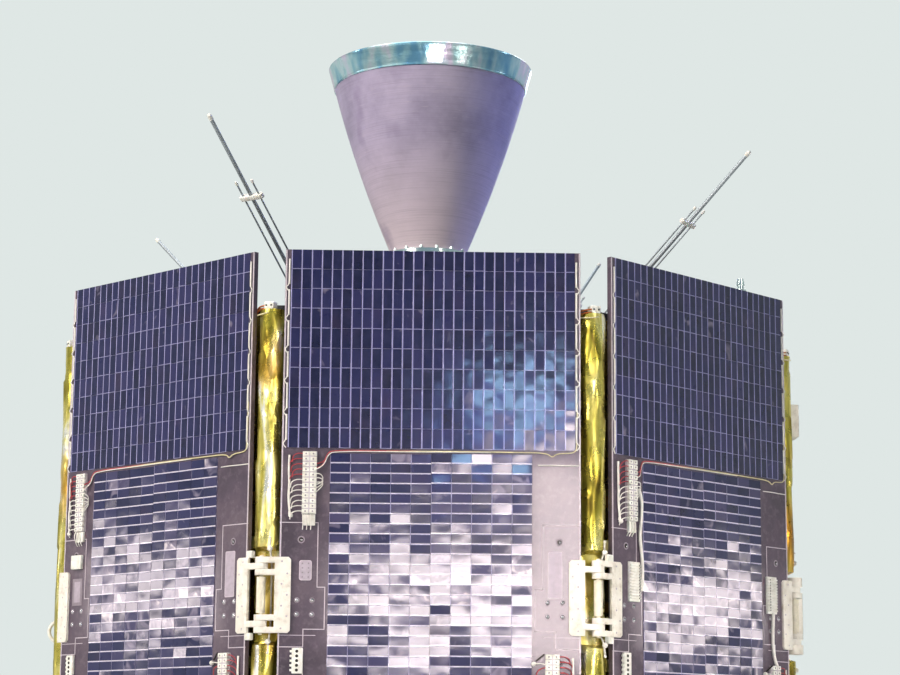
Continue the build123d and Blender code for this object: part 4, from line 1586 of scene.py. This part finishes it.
beams = {"cool": (18, (0, 0, 1.9)), "fill": (24, (0.35, -0.6, 0.62))}  # their spread and aim
lampRows = [  # name, place, size, power and colour
    ("key", (-6.0, -5.2, 5.2), (3.0, 3.0), 680, "fff4ea"),
    ("top", (-0.6, 0.6, 6.2), (4.0, 4.0), 150, "ffffff"),
    ("back", (1.0, 6.4, 4.4), (3.5, 3.5), 170, "f4f8ff"),
    ("cool", (5.0, 0.6, 4.4), (1.0, 1.0), 2.6, "6c84ff"),
    ("fill", (2.8, -5.2, 1.5), (1.0, 1.0), 5.0, "fff4ea"),
    # level panes that only show as mirror images in the cells and the metal
    ("front_pane", (-0.13, -6.2, 1.165), (0.41, 0.36), 12, "fff0f0"),
    ("middle_pane", (0.29, -6.2, 1.09), (0.42, 0.28), 12, "fff0f0"),
    ("right_pane", (0.82, -6.2, 1.31), (0.64, 0.90), 52, "ffeeee"),
    ("streak_pane", (0.50, -6.2, 2.03), (0.42, 0.09), 4.2, "a8d8ff"),
    ("blue_pane", (0.50, -6.2, 1.93), (0.58, 0.26), 1.9, "4060ff"),
    ("gold_pane", (3.4, -5.0, 2.0), (0.7, 1.5), 46, "fff4e4"),
    ("west_pane", (-5.0, -0.12, 1.12), (0.50, 0.30), 5.6, "fff0f0"),
    ("east_pane", (5.0, 0.0, 1.07), (0.48, 0.30), 6, "fff0f0"),
]


def studioLamps():
    for name, place, size, power, colour in lampRows:
        pane = name.endswith("_pane")
        spread, target = beams.get(name, (180, (0, 0, place[2] if pane else 1.0)))
        data = bpy.data.lights.new(name, "AREA")
        data.shape = "RECTANGLE"
        data.size, data.size_y = size
        data.energy = power
        data.color = fromHex(colour)[:3]
        data.spread = math.radians(spread)
        lamp = bpy.data.objects.new(name, data)
        lamp.location = place
        lamp.visible_diffuse = not pane
        lamp.visible_glossy = name not in beams
        aim = Vector(target) - Vector(place)
        lamp.rotation_euler = aim.to_track_quat("-Z", "Y").to_euler()
        bpy.context.scene.collection.objects.link(lamp)


cameraSettings = {
    "place": (-0.06917, -5.38666, 0.44835),
    "yaw": 0.02284,
    "pitch": 0.18455,
    "roll": 0.00895,
    "focal": 2296.998,  # in pixels of a picture 900 wide
    "width": 900,
    "sensor": 36.0,
}


def photoCamera():
    s = cameraSettings
    flat = Vector((math.sin(s["yaw"]), math.cos(s["yaw"]), 0))
    forward = flat * math.cos(s["pitch"]) + Vector((0, 0, math.sin(s["pitch"])))
    level = Vector((flat.y, -flat.x, 0))
    upright = level.cross(forward)
    cosRoll, sinRoll = math.cos(s["roll"]), math.sin(s["roll"])
    right = level * cosRoll + upright * sinRoll
    up = upright * cosRoll - level * sinRoll
    data = bpy.data.cameras.new("photo_camera")
    data.sensor_width = s["sensor"]
    data.lens = s["sensor"] * s["focal"] / s["width"]
    data.clip_end = 100
    camera = bpy.data.objects.new("photo_camera", data)
    camera.matrix_world = axesMatrix(right, up, -forward, s["place"])
    bpy.context.scene.collection.objects.link(camera)
    bpy.context.scene.camera = camera


studioFloor()
studioWorld()
studioLamps()
photoCamera()
bpy.context.scene.view_settings.view_transform = "Standard"
print("stage done")
